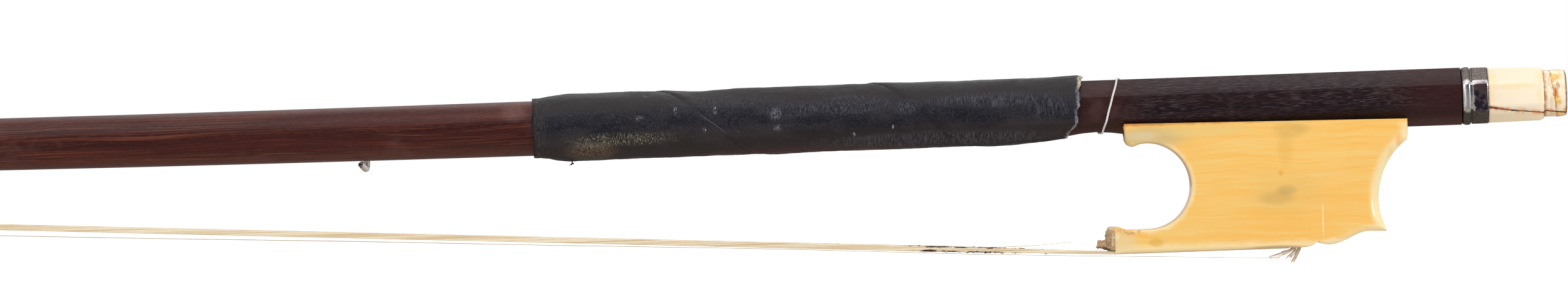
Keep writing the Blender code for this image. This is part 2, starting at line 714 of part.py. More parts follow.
def make_screw(parent, spigot_x):
    """Steel screw: a tang in the button, the shank through the eyelet and a journal in the stick."""
    rear = spigot_x - SEAT_GAP
    tang_rear = spigot_x + SCREW_TANG_LENGTH
    journal_front = SCREW_FRONT_X - SCREW_JOURNAL_LENGTH
    profile = (
        (tang_rear, 0.0),
        (tang_rear, SCREW_TANG_DIAMETER / 2 - 0.3 * MM),
        (tang_rear - 0.4 * MM, SCREW_TANG_DIAMETER / 2),
        (rear, SCREW_TANG_DIAMETER / 2),
        (rear, SCREW_DIAMETER / 2),
        (SCREW_FRONT_X, SCREW_DIAMETER / 2),
        (SCREW_FRONT_X, SCREW_JOURNAL_DIAMETER / 2),
        (journal_front + 0.5 * MM, SCREW_JOURNAL_DIAMETER / 2),
        (journal_front, SCREW_JOURNAL_DIAMETER / 2 - 0.5 * MM),
        (journal_front, 0.0),
    )
    turned("screw", profile, 20, MATERIALS["steel"], BOW, parent)


# Frog

def frog_outline():
    """The frog from the side as (x, z) points: nose, throat, tongue, underside, ogee, heel and waist."""
    top = -RAIL_FRONT_HEIGHT / 2
    throat = (NOSE_X + THROAT_FROM_NOSE, -THROAT_CENTRE_DEPTH)
    floor = throat[1] - THROAT_RADIUS
    outline = [(NOSE_X, top)]
    outline += arc((NOSE_X + NOSE_RADIUS, NOSE_RADIUS - NOSE_DEPTH), NOSE_RADIUS, 180, 270, 5)
    outline += arc(throat, THROAT_RADIUS, 100, -90, 26)
    lip = MOUTH_X + 0.25 * TONGUE_REACH
    outline += [(MOUTH_X + TONGUE_REACH, floor), (lip + 0.5 * MM, floor + 0.5 * LIP_RISE), (lip, floor + LIP_RISE)]
    outline += [(MOUTH_X, floor), (MOUTH_X, FROG_BOTTOM_Z)]
    end = NOTCH_X - BOTTOM_END_RADIUS
    outline += [(end - MM, FROG_BOTTOM_Z), (end + 0.45 * BOTTOM_END_RADIUS, FROG_BOTTOM_Z + 0.14 * NOTCH_DEPTH)]
    outline += [(NOTCH_X - 0.4 * MM, FROG_BOTTOM_Z + 0.53 * NOTCH_DEPTH), (NOTCH_X, FROG_BOTTOM_Z + NOTCH_DEPTH)]
    bulge = FROG_BOTTOM_Z + BULGE_DROP
    rise = FROG_BOTTOM_Z + NOTCH_DEPTH - bulge
    for k in range(1, 4):
        share = k / 4
        outline.append((NOTCH_X + BULGE_LENGTH * share, bulge + rise * (1 - share) ** 2))
    for k in range(9):
        share = k / 8
        height = bulge + OGEE_RISE * (1 - math.cos(math.pi * share)) / 2
        outline.append((BULGE_X + OGEE_LENGTH * share, height))
    outline += waist_arc()
    outline += [(FROG_REAR_X, -REAR_FACE_DEPTH + 0.7 * MM), (FROG_REAR_X, top)]
    return outline


def waist_arc():
    """The hollow of the heel: an arc from the heel corner to the foot of the rear face."""
    low = Vector((HEEL_X, -HEEL_DEPTH))
    high = Vector((FROG_REAR_X - 0.2 * MM, -REAR_FACE_DEPTH))
    half = (high - low) / 2
    reach = math.sqrt(max(0.0, WAIST_RADIUS**2 - half.length**2))
    inwards = Vector((half.y, -half.x)).normalized()
    centre = low + half + inwards * reach
    start = math.degrees(math.atan2(low.y - centre.y, low.x - centre.x)) % 360
    end = math.degrees(math.atan2(high.y - centre.y, high.x - centre.x)) % 360
    return arc(centre, WAIST_RADIUS, start, end, 14)


def bevel_rims(bm):
    """Rounds the edges where the frog's outline meets its two sides."""
    rims = [edge for edge in bm.edges if all(abs(abs(v.co.y) - FROG_WIDTH / 2) < 0.001 * MM for v in edge.verts)]
    rims = [edge for edge in rims if edge.verts[0].co.y * edge.verts[1].co.y > 0]
    bmesh.ops.bevel(
        bm, geom=rims, offset=FROG_EDGE_BEVEL, offset_type="OFFSET", segments=2, profile=0.5, affect="EDGES",
        clamp_overlap=False,
    )


def skew_mouth(bm):
    """The tongue's mouth is cut askew: its near wall stops short of its far wall."""
    for vert in bm.verts:
        if vert.co.z < -THROAT_CENTRE_DEPTH and vert.co.x < MOUTH_X + 2 * TONGUE_REACH:
            share = 1 - (vert.co.x - MOUTH_X) / (2 * TONGUE_REACH)
            vert.co.x -= MOUTH_SKEW / 2 * share * vert.co.y / (FROG_WIDTH / 2)


def make_frog(parent):
    bm = outline_mesh("frog", frog_outline(), FROG_WIDTH / 2)
    bevel_rims(bm)
    skew_mouth(bm)
    frog = add_object("frog", finish_mesh("frog", bm, 40.0), MATERIALS["frog_ivory"], BOW, parent)
    saddle_width = STICK_ACROSS_FLATS + 2 * RUNNING_GAP
    beyond = 4 * MM
    saddle_profile = (
        (FROG_REAR_X + beyond, 0.0),
        (FROG_REAR_X + beyond, saddle_width),
        (NOSE_X - beyond, saddle_width),
        (NOSE_X - beyond, 0.0),
    )
    boolean(frog, octagonal("saddle", saddle_profile, None, CUTTERS))
    boolean(frog, rail_trim())
    boolean(frog, hair_channel())
    boolean(frog, frog_mortise())
    boolean(frog, wedge_pocket())
    shank = EYELET_SHANK_DIAMETER + 2 * SEAT_GAP
    seat = -STICK_ACROSS_FLATS / 2
    depth = seat - EYELET_SHANK_LENGTH - HIDDEN_GAP
    boolean(frog, upright("eyelet_hole", EYELET_X, depth, seat + MM, shank, CUTTERS))


def rail_trim():
    """Trims the two rails that grip the stick to a line that falls towards the heel."""
    half = FROG_WIDTH
    low = (NOSE_X - 4 * MM, -half, 0.0)
    high = (FROG_REAR_X + 4 * MM, half, 6 * MM)
    fall = (RAIL_REAR_HEIGHT - RAIL_FRONT_HEIGHT) / FROG_TOP_LENGTH

    def place(x, y, z):
        return Vector((x, y, z - RAIL_FRONT_HEIGHT - fall * (x - NOSE_X)))

    return add_object("rail_trim", box_mesh("rail_trim", low, high, place), None, CUTTERS)


def hair_channel():
    half = HAIR_WIDTH_AT_FROG / 2 + SEAT_GAP
    low = (MOUTH_X - 4 * MM, -half, FROG_BOTTOM_Z - MM)
    high = (MORTISE_REAR_X - MM, half, FROG_BOTTOM_Z + CHANNEL_DEPTH)
    return add_object("hair_channel", box_mesh("hair_channel", low, high), None, CUTTERS)


def frog_mortise():
    half = HAIR_WIDTH_AT_FROG / 2 + SEAT_GAP
    low = (MORTISE_FRONT_X, -half, FROG_BOTTOM_Z - 2 * MM)
    high = (MORTISE_REAR_X, half, FROG_BOTTOM_Z + MORTISE_DEPTH)
    return add_object("frog_mortise", box_mesh("frog_mortise", low, high), None, CUTTERS)


def wedge_section(height, half_width):
    """A flat-bottomed section with a low arched top, as (y, z) from the frog's bottom."""
    spring = 0.6 * height
    points = [(half_width, HAIR_THICKNESS_HELD), (half_width, spring)]
    for k in range(1, 6):
        angle = math.pi * k / 6
        points.append((half_width * math.cos(angle), spring + (height - spring) * math.sin(angle)))
    return points + [(-half_width, spring), (-half_width, HAIR_THICKNESS_HELD)]


def wedge_form(front_x, rear_x, shrink):
    """A loft along X from the tall mouth of the pocket to its low end."""
    rings = []
    half_width = HAIR_WIDTH_AT_FROG / 2 - shrink
    for x in (front_x, rear_x):
        share = (x - MOUTH_X) / WEDGE_LENGTH
        height = WEDGE_MOUTH_HEIGHT + (WEDGE_TIP_HEIGHT - WEDGE_MOUTH_HEIGHT) * share - shrink
        section = wedge_section(height, half_width)
        rings.append([Vector((x, y, FROG_BOTTOM_Z + z)) for y, z in section])
    return loft(rings, cap=flat_cap)


def wedge_pocket():
    form = wedge_form(MOUTH_X - 4 * MM, MOUTH_X + WEDGE_LENGTH, 0.0)
    return add_object("wedge_pocket", finish_mesh("wedge_pocket", form), None, CUTTERS)


def make_wedge(parent):
    """The wooden wedge that spreads the hair, with a splinter left standing at its lower front."""
    form = wedge_form(MOUTH_X - WEDGE_PROUD, MOUTH_X + WEDGE_LENGTH - HIDDEN_GAP, SEAT_GAP)
    wedge = add_object(
        "frog_spread_wedge", finish_mesh("frog_spread_wedge", form), MATERIALS["plug_wood"], BOW, parent
    )
    bottom = FROG_BOTTOM_Z + HAIR_THICKNESS_HELD + 0.05 * MM
    front = MOUTH_X - WEDGE_PROUD - WEDGE_SPLINTER
    low = (front, -0.3 * HAIR_WIDTH_AT_FROG, bottom)
    high = (MOUTH_X + MM, 0.42 * HAIR_WIDTH_AT_FROG, bottom + 1.4 * MM)

    def place(x, y, z):
        lean = 0.5 * MM if x < MOUTH_X and z > bottom + 0.5 * MM else 0.0
        return Vector((x + lean, y, z - lean / 2))

    splinter = add_object("wedge_splinter", box_mesh("wedge_splinter", low, high, place), None, CUTTERS)
    boolean(wedge, splinter, "UNION")


def make_eyelet(parent):
    """Brass nut: a flat eye on the screw, and a shank screwed down into the frog."""
    seat = -STICK_ACROSS_FLATS / 2 - RUNNING_GAP + SEAT_GAP
    half_length = EYELET_LENGTH / 2
    half_width = EYELET_WIDTH / 2
    shoulder = EYELET_TOP_HEIGHT - 0.9 * MM
    outline = [(half_length, seat), (half_length, shoulder)]
    for k in range(1, 6):
        angle = math.pi * k / 6
        outline.append((half_length * math.cos(angle), shoulder + 0.9 * MM * math.sin(angle)))
    outline += [(-half_length, shoulder), (-half_length, seat)]
    bm = outline_mesh("frog_eyelet", [(EYELET_X + x, z) for x, z in outline], half_width)
    eyelet = add_object("frog_eyelet", finish_mesh("frog_eyelet", bm), MATERIALS["brass"], BOW, parent)
    foot = -STICK_ACROSS_FLATS / 2 - EYELET_SHANK_LENGTH
    shank = upright("eyelet_shank", EYELET_X, foot, seat + 0.8 * MM, EYELET_SHANK_DIAMETER, CUTTERS)
    boolean(eyelet, shank, "UNION")
    hole = SCREW_DIAMETER + 2 * RUNNING_GAP
    boolean(eyelet, rod("eyelet_bore", EYELET_X + EYELET_LENGTH, EYELET_X - EYELET_LENGTH, hole))


# Hair and what holds it

def hair_path():
    """The middle of the ribbon from the head's mortise to the frog's: (point, direction, width, thickness)."""
    held = HAIR_THICKNESS_HELD
    on_plate = -PLATE_OFFSET
    wall = HEAD_MORTISE_FROM_BACK + HEAD_MORTISE_LENGTH - HIDDEN_GAP - held / 2
    bend = 0.5 * MM
    up_in_head = PLUG_HEIGHT + HIDDEN_GAP
    rows = [
        (head_point(wall, up_in_head), -HEAD_UP, 0.0, held),
        (head_point(wall, bend), -HEAD_UP, 0.0, held),
        (head_point(wall - 0.3 * bend, on_plate + 0.3 * bend), (-HEAD_UP - HEAD_ALONG).normalized(), 0.0, held),
        (head_point(wall - bend - 0.3 * MM, on_plate), -HEAD_ALONG, 0.0, held),
    ]
    start = rows[-1][0]
    mouth = Vector((MOUTH_X, 0.0, HAIR_HELD_Z))
    spread = ((0.02, 0.5), (0.05, 0.9), (0.15, 1.0), (0.3, 1.0), (0.45, 1.0), (0.6, 1.0), (0.75, 1.0), (0.88, 0.9))
    spread += ((0.95, 0.7), (0.985, 0.35))
    for share, fullness in spread:
        thickness = held + (HAIR_THICKNESS_FREE - held) * fullness
        rows.append((start.lerp(mouth, share), -HEAD_ALONG, share, thickness))
    level = Vector((1.0, 0.0, 0.0))
    rear = MORTISE_REAR_X - 0.95 * MM - held / 2
    rows += [
        (mouth + level * MM, (level - HEAD_ALONG).normalized(), 1.0, held),
        (Vector((rear - bend - 0.3 * MM, 0.0, HAIR_HELD_Z)), level, 1.0, held),
        (Vector((rear - 0.3 * bend, 0.0, HAIR_HELD_Z + 0.3 * bend)), (level + Vector((0, 0, 1))).normalized(), 1.0, held),
        (Vector((rear, 0.0, HAIR_HELD_Z + bend + 0.3 * MM)), Vector((0.0, 0.0, 1.0)), 1.0, held),
        (Vector((rear, 0.0, FROG_BOTTOM_Z + CHANNEL_DEPTH + PLUG_HEIGHT)), Vector((0.0, 0.0, 1.0)), 1.0, held),
    ]
    return rows


def make_hair():
    """The ribbon, ridged along its length where its strands lie in bundles."""
    rings = []
    for point, direction, share, thickness in hair_path():
        width = HAIR_WIDTH_AT_HEAD + (HAIR_WIDTH_AT_FROG - HAIR_WIDTH_AT_HEAD) * share - 2 * SEAT_GAP
        outwards = Vector((-direction.z, 0.0, direction.x))
        ring = []
        for side in (1.0, -1.0):
            for k in range(HAIR_RIDGES + 1):
                across = (k / HAIR_RIDGES - 0.5) * width * side
                groove = HAIR_RIDGE_DEPTH if k % 2 else 0.0
                edge = 0.12 * MM if k in (0, HAIR_RIDGES) else 0.0
                height = (thickness / 2 - groove - edge) * side
                ring.append(point + outwards * height + Vector((0.0, across, 0.0)))
        rings.append(ring)
    add_object("hair", finish_mesh("hair", loft(rings, cap=ribbon_cap)), MATERIALS["hair"], BOW)


def ribbon_cap(bm, ring):
    """Closes the ribbon's end with strips from its upper to its lower side."""
    count = len(ring)
    for k in range(count // 2 - 1):
        bm.faces.new((ring[k], ring[k + 1], ring[count - 2 - k], ring[count - 1 - k]))


def knot_rings(profile, growth=0.0):
    """Flattened round rings as (height, radius) pairs, drawn out across the bow."""
    rings = []
    for height, radius in profile:
        ring = []
        for k in range(16):
            angle = math.tau * k / 16
            long_radius = radius + HAIR_WIDTH_AT_HEAD * 0.22 + growth
            ring.append(((radius + growth) * math.cos(angle), long_radius * math.sin(angle), height))
        rings.append(ring)
    return rings


def make_knot(name, binding_name, place, parent):
    """A tied bundle of hair with a burnt, swollen end, and the thread wound round its waist."""
    waist = 0.75 * KNOT_RADIUS
    profile = (
        (0.0, waist),
        (0.2 * KNOT_HEIGHT, waist * 0.95),
        (0.65 * KNOT_HEIGHT, waist * 0.95),
        (0.78 * KNOT_HEIGHT, KNOT_RADIUS),
        (0.92 * KNOT_HEIGHT, KNOT_RADIUS * 0.97),
        (KNOT_HEIGHT, KNOT_RADIUS * 0.7),
    )
    rings = [[place(*point) for point in ring] for ring in knot_rings(profile)]
    mesh = finish_mesh(name, loft(rings, cap=flat_cap))
    add_object(name, mesh, MATERIALS["hair"], BOW, parent)
    band = ((0.22 * KNOT_HEIGHT, waist), (0.62 * KNOT_HEIGHT, waist))
    inner = knot_rings(band, SEAT_GAP)
    outer = knot_rings(band, SEAT_GAP + 0.25 * MM)
    rings = [[place(*point) for point in ring] for ring in inner + outer[::-1]]
    mesh = finish_mesh(binding_name, loft(rings, joined=True))
    add_object(binding_name, mesh, MATERIALS["thread"], BOW, parent)


def make_frog_filling(parent):
    """The plug that locks the hair in the frog's mortise, and the knot over it."""
    half = HAIR_WIDTH_AT_FROG / 2 - SEAT_GAP
    bottom = FROG_BOTTOM_Z + CHANNEL_DEPTH - SEAT_GAP
    rear = MORTISE_REAR_X - 0.95 * MM - HAIR_THICKNESS_HELD - HIDDEN_GAP
    low = (MORTISE_FRONT_X + SEAT_GAP, -half, bottom)
    high = (rear, half, bottom + PLUG_HEIGHT)
    mesh = box_mesh("frog_hair_plug", low, high)
    add_object("frog_hair_plug", mesh, MATERIALS["plug_wood"], BOW, parent)
    knot_x = MORTISE_REAR_X - HIDDEN_GAP - KNOT_RADIUS - 0.3 * MM
    knot_z = bottom + PLUG_HEIGHT + HIDDEN_GAP + 0.15 * MM

    def place(along, across, height):
        return Vector((knot_x + along, across, knot_z + height))

    make_knot("frog_hair_knot", "frog_knot_binding", place, parent)


def make_head_filling():
    half = HAIR_WIDTH_AT_HEAD / 2
    wall = HEAD_MORTISE_FROM_BACK + HEAD_MORTISE_LENGTH
    low = (HEAD_MORTISE_FROM_BACK + SEAT_GAP, 0.05 * MM, -half)
    high = (wall - HAIR_THICKNESS_HELD - 2 * HIDDEN_GAP - 0.1 * MM, PLUG_HEIGHT, half)
    mesh = box_mesh("head_hair_plug", low, high, head_box)
    add_object("head_hair_plug", mesh, MATERIALS["plug_wood"], BOW)
    knot_along = wall - HIDDEN_GAP - KNOT_RADIUS
    knot_height = PLUG_HEIGHT + 2 * HIDDEN_GAP + 0.1 * MM

    def place(along, across, height):
        return head_point(knot_along - along, knot_height + height, across)

    make_knot("head_hair_knot", "head_knot_binding", place, None)


def make_tuft(parent):
    """Cut hair ends that stick out behind the ribbon's bend and fan down and forwards."""
    front = MORTISE_REAR_X - 0.65 * MM
    rear = MORTISE_REAR_X - HIDDEN_GAP
    half = 0.32 * HAIR_WIDTH_AT_FROG
    pitch = 2 * half / TUFT_STRANDS
    sides = [-half + pitch * (k // 2 + (0.8 if k % 2 else 0.2)) for k in range(2 * TUFT_STRANDS)]
    bm = bmesh.new()

    def row(x, z):
        return [bm.verts.new((x, y, z)) for y in sides]

    top = FROG_BOTTOM_Z + 2.4 * MM
    corners = [row(front, top), row(rear, top), row(rear, FROG_BOTTOM_Z), row(front, FROG_BOTTOM_Z)]
    for k in range(len(sides) - 1):
        for side in range(4):
            one, other = corners[side], corners[(side + 1) % 4]
            if side != 2 or k % 2:
                bm.faces.new((one[k], one[k + 1], other[k + 1], other[k]))
        if k % 2 == 0:
            low_rear, low_front = corners[2], corners[3]
            add_strand(bm, (low_rear[k], low_rear[k + 1], low_front[k + 1], low_front[k]), k // 2)
    for k in (0, -1):
        bm.faces.new([line[k] for line in corners])
    add_object("hair_tuft", finish_mesh("hair_tuft", bm), MATERIALS["hair"], BOW, parent)


def add_strand(bm, root, number):
    """Grows one tapering strand from four corners of the tuft's underside."""
    lean = math.radians(38.0 + 22.0 * ((number * 3) % TUFT_STRANDS) / TUFT_STRANDS)
    length = TUFT_LENGTH * (0.75 + 0.25 * ((number * 5) % TUFT_STRANDS) / (TUFT_STRANDS - 1))
    middle = sum((vert.co for vert in root), Vector()) / 4
    ring = list(root)
    for share, along in ((0.1, 0.02), (0.5, 0.45), (1.0, 1.0)):
        reach = length * along
        shift = Vector((-reach * math.sin(lean), middle.y * 0.35 * share, -reach * math.cos(lean) - 0.3 * MM * share))
        thin = 1.0 - 0.4 * share
        lower = [bm.verts.new(middle + (vert.co - middle) * thin + shift) for vert in root]
        for k in range(4):
            bm.faces.new((ring[k], ring[(k + 1) % 4], lower[(k + 1) % 4], lower[k]))
        ring = lower
    bm.faces.new(ring)


def add_axis(name):
    """An empty on the screw axis, which carries the pieces that move along or about it."""
    axis = bpy.data.objects.new(name, None)
    axis.empty_display_type = "ARROWS"
    axis.empty_display_size = 10 * MM
    BOW.objects.link(axis)
    return axis


def main():
    make_stick()
    make_head_face()
    make_grip()
    make_thread()
    make_pin()
    make_hair()
    make_head_filling()
    frog_axis = add_axis("frog_slide_axis")
    make_frog(frog_axis)
    make_eyelet(frog_axis)
    make_wedge(frog_axis)
    make_frog_filling(frog_axis)
    make_tuft(frog_axis)
    button_axis = add_axis("button_turn_axis")
    spigot_x = make_button(button_axis)
    make_screw(button_axis, spigot_x)


clear_scene()
BOW = new_collection("violin_bow")
CUTTERS = new_collection("cutters")
MATERIALS = {
    "wood": new_material("dark_red_wood", (0.085, 0.03, 0.024), 0.35),
    "leather": new_material("black_leather", (0.02, 0.021, 0.027), 0.6),
    "thread": new_material("white_thread", (0.75, 0.72, 0.66), 0.8),
    "silver": new_material("tarnished_silver", (0.35, 0.34, 0.32), 0.3, 1.0),
    "steel": new_material("screw_steel", (0.4, 0.39, 0.37), 0.35, 1.0),
    "brass": new_material("brass", (0.7, 0.5, 0.2), 0.35, 1.0),
    "frog_ivory": new_material("amber_ivory", (0.87, 0.56, 0.16), 0.3),
    "ivory": new_material("pale_ivory", (0.9, 0.82, 0.65), 0.3),
    "lining": new_material("dark_lining", (0.02, 0.017, 0.015), 0.4),
    "hair": new_material("horsehair", (0.8, 0.68, 0.45), 0.45),
    "plug_wood": new_material("pale_plug_wood", (0.42, 0.27, 0.15), 0.7),
}
main()
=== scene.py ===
"""The looks of a violin bow with an open frog: detailed pieces, their finishes and a plain studio."""

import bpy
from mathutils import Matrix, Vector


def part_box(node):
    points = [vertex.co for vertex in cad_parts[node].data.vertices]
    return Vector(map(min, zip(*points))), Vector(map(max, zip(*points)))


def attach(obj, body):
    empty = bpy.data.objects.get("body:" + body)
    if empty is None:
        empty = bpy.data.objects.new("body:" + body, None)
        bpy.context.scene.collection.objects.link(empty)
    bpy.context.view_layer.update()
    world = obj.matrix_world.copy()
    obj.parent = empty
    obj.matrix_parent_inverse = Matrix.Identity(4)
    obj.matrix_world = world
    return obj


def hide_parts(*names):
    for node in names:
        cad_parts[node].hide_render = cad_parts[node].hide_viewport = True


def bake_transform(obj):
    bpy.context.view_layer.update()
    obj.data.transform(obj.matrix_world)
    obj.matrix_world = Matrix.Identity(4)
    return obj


bl_info = {
    "name": "Violin bow",
    "version": (1, 0, 0),
    "blender": (4, 5, 0),
    "location": "3D View > Sidebar > Bow",
    "description": "Builds the pieces and finishes of an open-frog violin bow around its CAD model",
    "category": "Object",
}

import math
import random

import bmesh
import bpy
from bpy.props import FloatProperty, FloatVectorProperty, IntProperty, PointerProperty
from mathutils import Matrix, Vector, noise
from mathutils.bvhtree import BVHTree

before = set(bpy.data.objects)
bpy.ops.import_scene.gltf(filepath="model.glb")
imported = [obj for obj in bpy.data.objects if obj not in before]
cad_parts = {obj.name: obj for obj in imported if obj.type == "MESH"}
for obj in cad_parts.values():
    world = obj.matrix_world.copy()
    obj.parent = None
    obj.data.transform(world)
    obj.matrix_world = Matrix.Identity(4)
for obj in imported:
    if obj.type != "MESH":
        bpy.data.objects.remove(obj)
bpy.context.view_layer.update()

MM = 0.001
COINCIDENT = 0.002 * MM

# Places of the frame that more than one piece uses, in millimetres
NOSE_X = -66.6
FROG_REAR_X = -24.3
MOUTH_X = -69.3
MOUTH_SKEW = 1.15
FROG_BOTTOM = -21.9
FROG_HALF_WIDTH = 4.7
THROAT_CENTRE = (-63.5, -11.9)
THROAT_RADIUS = 6.45
HEEL = (-27.9, -19.85)
WAIST_RADIUS = 11.1
WAIST_CENTRE = (-17.87, -15.1)
MORTISE_FRONT_X = -52.45
MORTISE_REAR_X = -40.75
HAIR_SPACE = 3.5
HAIR_SLOPE = 0.0582
HAIR_HELD_Z = -21.75
PLATE_BACK = (-700.02, 15.29)


# Making shapes

def select_only(thing):
    """Leaves one object selected and active, which is what every operator below acts on."""
    bpy.ops.object.select_all(action="DESELECT")
    thing.select_set(True)
    bpy.context.view_layer.objects.active = thing


def named(name):
    """Names the object that an operator has just added."""
    thing = bpy.context.active_object
    thing.name = name
    thing.data.name = name
    return thing


def added(name, add, **settings):
    """Adds a primitive with nothing else selected, and names it."""
    bpy.ops.object.select_all(action="DESELECT")
    add(**settings)
    return named(name)


def settle(thing):
    """Puts the object's place, turn and scale into its mesh."""
    select_only(thing)
    bpy.ops.object.transform_apply(location=True, rotation=True, scale=True)


def open_mesh(thing, kind, action="DESELECT"):
    """Starts edit mode with nothing selected, or with everything."""
    select_only(thing)
    bpy.ops.object.mode_set(mode="EDIT")
    bpy.ops.mesh.select_mode(type=kind)
    bpy.ops.mesh.select_all(action=action)


def close_mesh():
    bpy.ops.object.mode_set(mode="OBJECT")


def pick(thing, kind, test):
    """Selects the faces, edges or verts that pass a test, in edit mode."""
    shape = bmesh.from_edit_mesh(thing.data)
    parts = {"FACE": shape.faces, "EDGE": shape.edges, "VERT": shape.verts}[kind]
    for part in parts:
        if test(part):
            part.select_set(True)
    shape.select_flush_mode()
    bmesh.update_edit_mesh(thing.data)


def face_out(thing):
    """Merges what coincides and turns every face of a closed shape outwards."""
    open_mesh(thing, "VERT", "SELECT")
    bpy.ops.mesh.remove_doubles(threshold=COINCIDENT)
    bpy.ops.mesh.normals_make_consistent(inside=False)
    close_mesh()


def smooth(thing, angle=30):
    select_only(thing)
    bpy.ops.object.shade_smooth_by_angle(angle=math.radians(angle))


def apply_modifier(thing, kind, **settings):
    """Adds a modifier and applies it at once."""
    select_only(thing)
    modifier = thing.modifiers.new(kind.lower(), kind)
    for key, value in settings.items():
        setattr(modifier, key, value)
    bpy.ops.object.modifier_apply(modifier=modifier.name)


def carve(thing, cutter, operation="DIFFERENCE"):
    """Cuts or joins with a closed shape, which is then thrown away."""
    apply_modifier(thing, "BOOLEAN", object=cutter, operation=operation, solver="EXACT")
    bpy.data.objects.remove(cutter, do_unlink=True)


def block(name, low, high):
    """A box between two corners given in millimetres."""
    middle = [(a + b) / 2 * MM for a, b in zip(low, high)]
    thing = added(name, bpy.ops.mesh.primitive_cube_add, size=1, location=middle)
    thing.scale = [(b - a) * MM for a, b in zip(low, high)]
    settle(thing)
    return thing


def lathe(name, stations, sides=48, first_angle=0):
    """Extrudes a disc along the screw axis, ring by ring, through (x, radius) stations in millimetres."""
    x, radius = stations[0]
    disc = bpy.ops.mesh.primitive_circle_add
    thing = added(name, disc, vertices=sides, radius=radius * MM, fill_type="NGON")
    thing.rotation_euler = (0, math.radians(90), 0)
    settle(thing)
    thing.rotation_euler = (math.radians(first_angle), 0, 0)
    thing.location = (x * MM, 0, 0)
    settle(thing)
    open_mesh(thing, "FACE", "SELECT")
    for next_x, next_radius in stations[1:]:
        bpy.ops.mesh.extrude_region_move(TRANSFORM_OT_translate={"value": ((next_x - x) * MM, 0, 0)})
        grown = next_radius / radius
        bpy.ops.transform.resize(value=(1, grown, grown), center_override=(next_x * MM, 0, 0))
        x, radius = next_x, next_radius
    close_mesh()
    face_out(thing)
    return thing


def octagon_lathe(name, stations):
    """As lathe, for eight flats that face up, down and sideways, from (x, width across flats) stations."""
    by_corner = [(x, width / 2 / math.cos(math.radians(22.5))) for x, width in stations]
    return lathe(name, by_corner, 8, 22.5)


def grown(name, rings):
    """Extrudes a face through rings of points in metres, each ring with as many points as the first."""
    thing = added(name, bpy.ops.mesh.primitive_circle_add, vertices=len(rings[0]), fill_type="NGON")
    for vert, point in zip(thing.data.vertices, rings[0]):
        vert.co = point
    def key(point):
        return tuple(round(value * 1e7) for value in point)

    open_mesh(thing, "FACE", "SELECT")
    for last, ring in zip(rings, rings[1:]):
        bpy.ops.mesh.extrude_region_move()
        shape = bmesh.from_edit_mesh(thing.data)
        moved = {key(old): new for old, new in zip(last, ring)}
        for vert in shape.verts:
            if vert.select:
                vert.co = moved[key(vert.co)]
        bmesh.update_edit_mesh(thing.data)
    close_mesh()
    face_out(thing)
    return thing


def copy_of(node, name, flatten=False):
    """The CAD node's shape as a new piece, its loose triangles joined into faces."""
    thing = bpy.data.objects.new(name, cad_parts[node].data.copy())
    thing.data.name = name
    thing.data.materials.clear()
    bpy.context.scene.collection.objects.link(thing)
    open_mesh(thing, "VERT", "SELECT")
    bpy.ops.mesh.remove_doubles(threshold=COINCIDENT)
    if flatten:
        bpy.ops.mesh.dissolve_limited(angle_limit=math.radians(0.2))
    else:
        bpy.ops.mesh.tris_convert_to_quads()
    close_mesh()
    return thing


def soften(thing, width, test=None, sharpness=25, segments=3):
    """Bevels the sharp edges that pass a test, by a width in millimetres."""
    open_mesh(thing, "EDGE")
    limit = math.radians(sharpness)

    def sharp(edge):
        return len(edge.link_faces) == 2 and edge.calc_face_angle() > limit and (test is None or test(edge))

    pick(thing, "EDGE", sharp)
    bpy.ops.mesh.bevel(offset=width * MM, segments=segments, affect="EDGES", clamp_overlap=True)
    close_mesh()


def runs_along(edge, share):
    """Whether an edge runs along the bow, by the least share of its length that does."""
    first, last = (vert.co for vert in edge.verts)
    return abs(first.x - last.x) > share * (first - last).length


def strands(name, paths, diameter, sides=0, steps=1):
    """Thin rods along rows of points in metres, each point with its share of the diameter, as one mesh."""
    line = bpy.data.curves.new(name, "CURVE")
    line.dimensions = "3D"
    line.bevel_depth = diameter / 2 * MM
    line.bevel_resolution = sides
    line.resolution_u = steps
    line.use_fill_caps = True
    for path in paths:
        spline = line.splines.new("POLY" if steps == 1 else "NURBS")
        spline.points.add(len(path) - 1)
        for point, (place, share) in zip(spline.points, path):
            point.co = (*place, 1)
            point.radius = share
        if steps > 1:
            spline.order_u = 4
            spline.use_endpoint_u = True
    thing = bpy.data.objects.new(name, line)
    bpy.context.scene.collection.objects.link(thing)
    select_only(thing)
    bpy.ops.object.convert(target="MESH")
    thing = named(name)
    thing.data.materials.clear()
    face_out(thing)
    return thing


def join(first, *others):
    """Makes one object of several."""
    select_only(first)
    for other in others:
        other.select_set(True)
    bpy.ops.object.join()
    return first


def keep_places(thing):
    """Stores where each point is at rest, so that the paint of a piece that stretches stays with it."""
    mesh = thing.data
    places = [0] * (3 * len(mesh.vertices))
    mesh.vertices.foreach_get("co", places)
    mesh.attributes.new("place_at_rest", "FLOAT_VECTOR", "POINT").data.foreach_set("vector", places)


def dress(thing, angle, finish, slot, body=None, nodes=()):
    """Smooths a finished piece, gives it its finish and body and hides the CAD nodes it stands for; a
    horsehair piece also keeps its places at rest.
    """
    if angle:
        smooth(thing, angle)
    thing.data.materials.clear()
    thing.data.materials.append(FINISHES[finish])
    if body:
        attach(thing, body)
    if nodes:
        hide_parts(*nodes)
    if slot == "horsehair":
        keep_places(thing)
    return thing


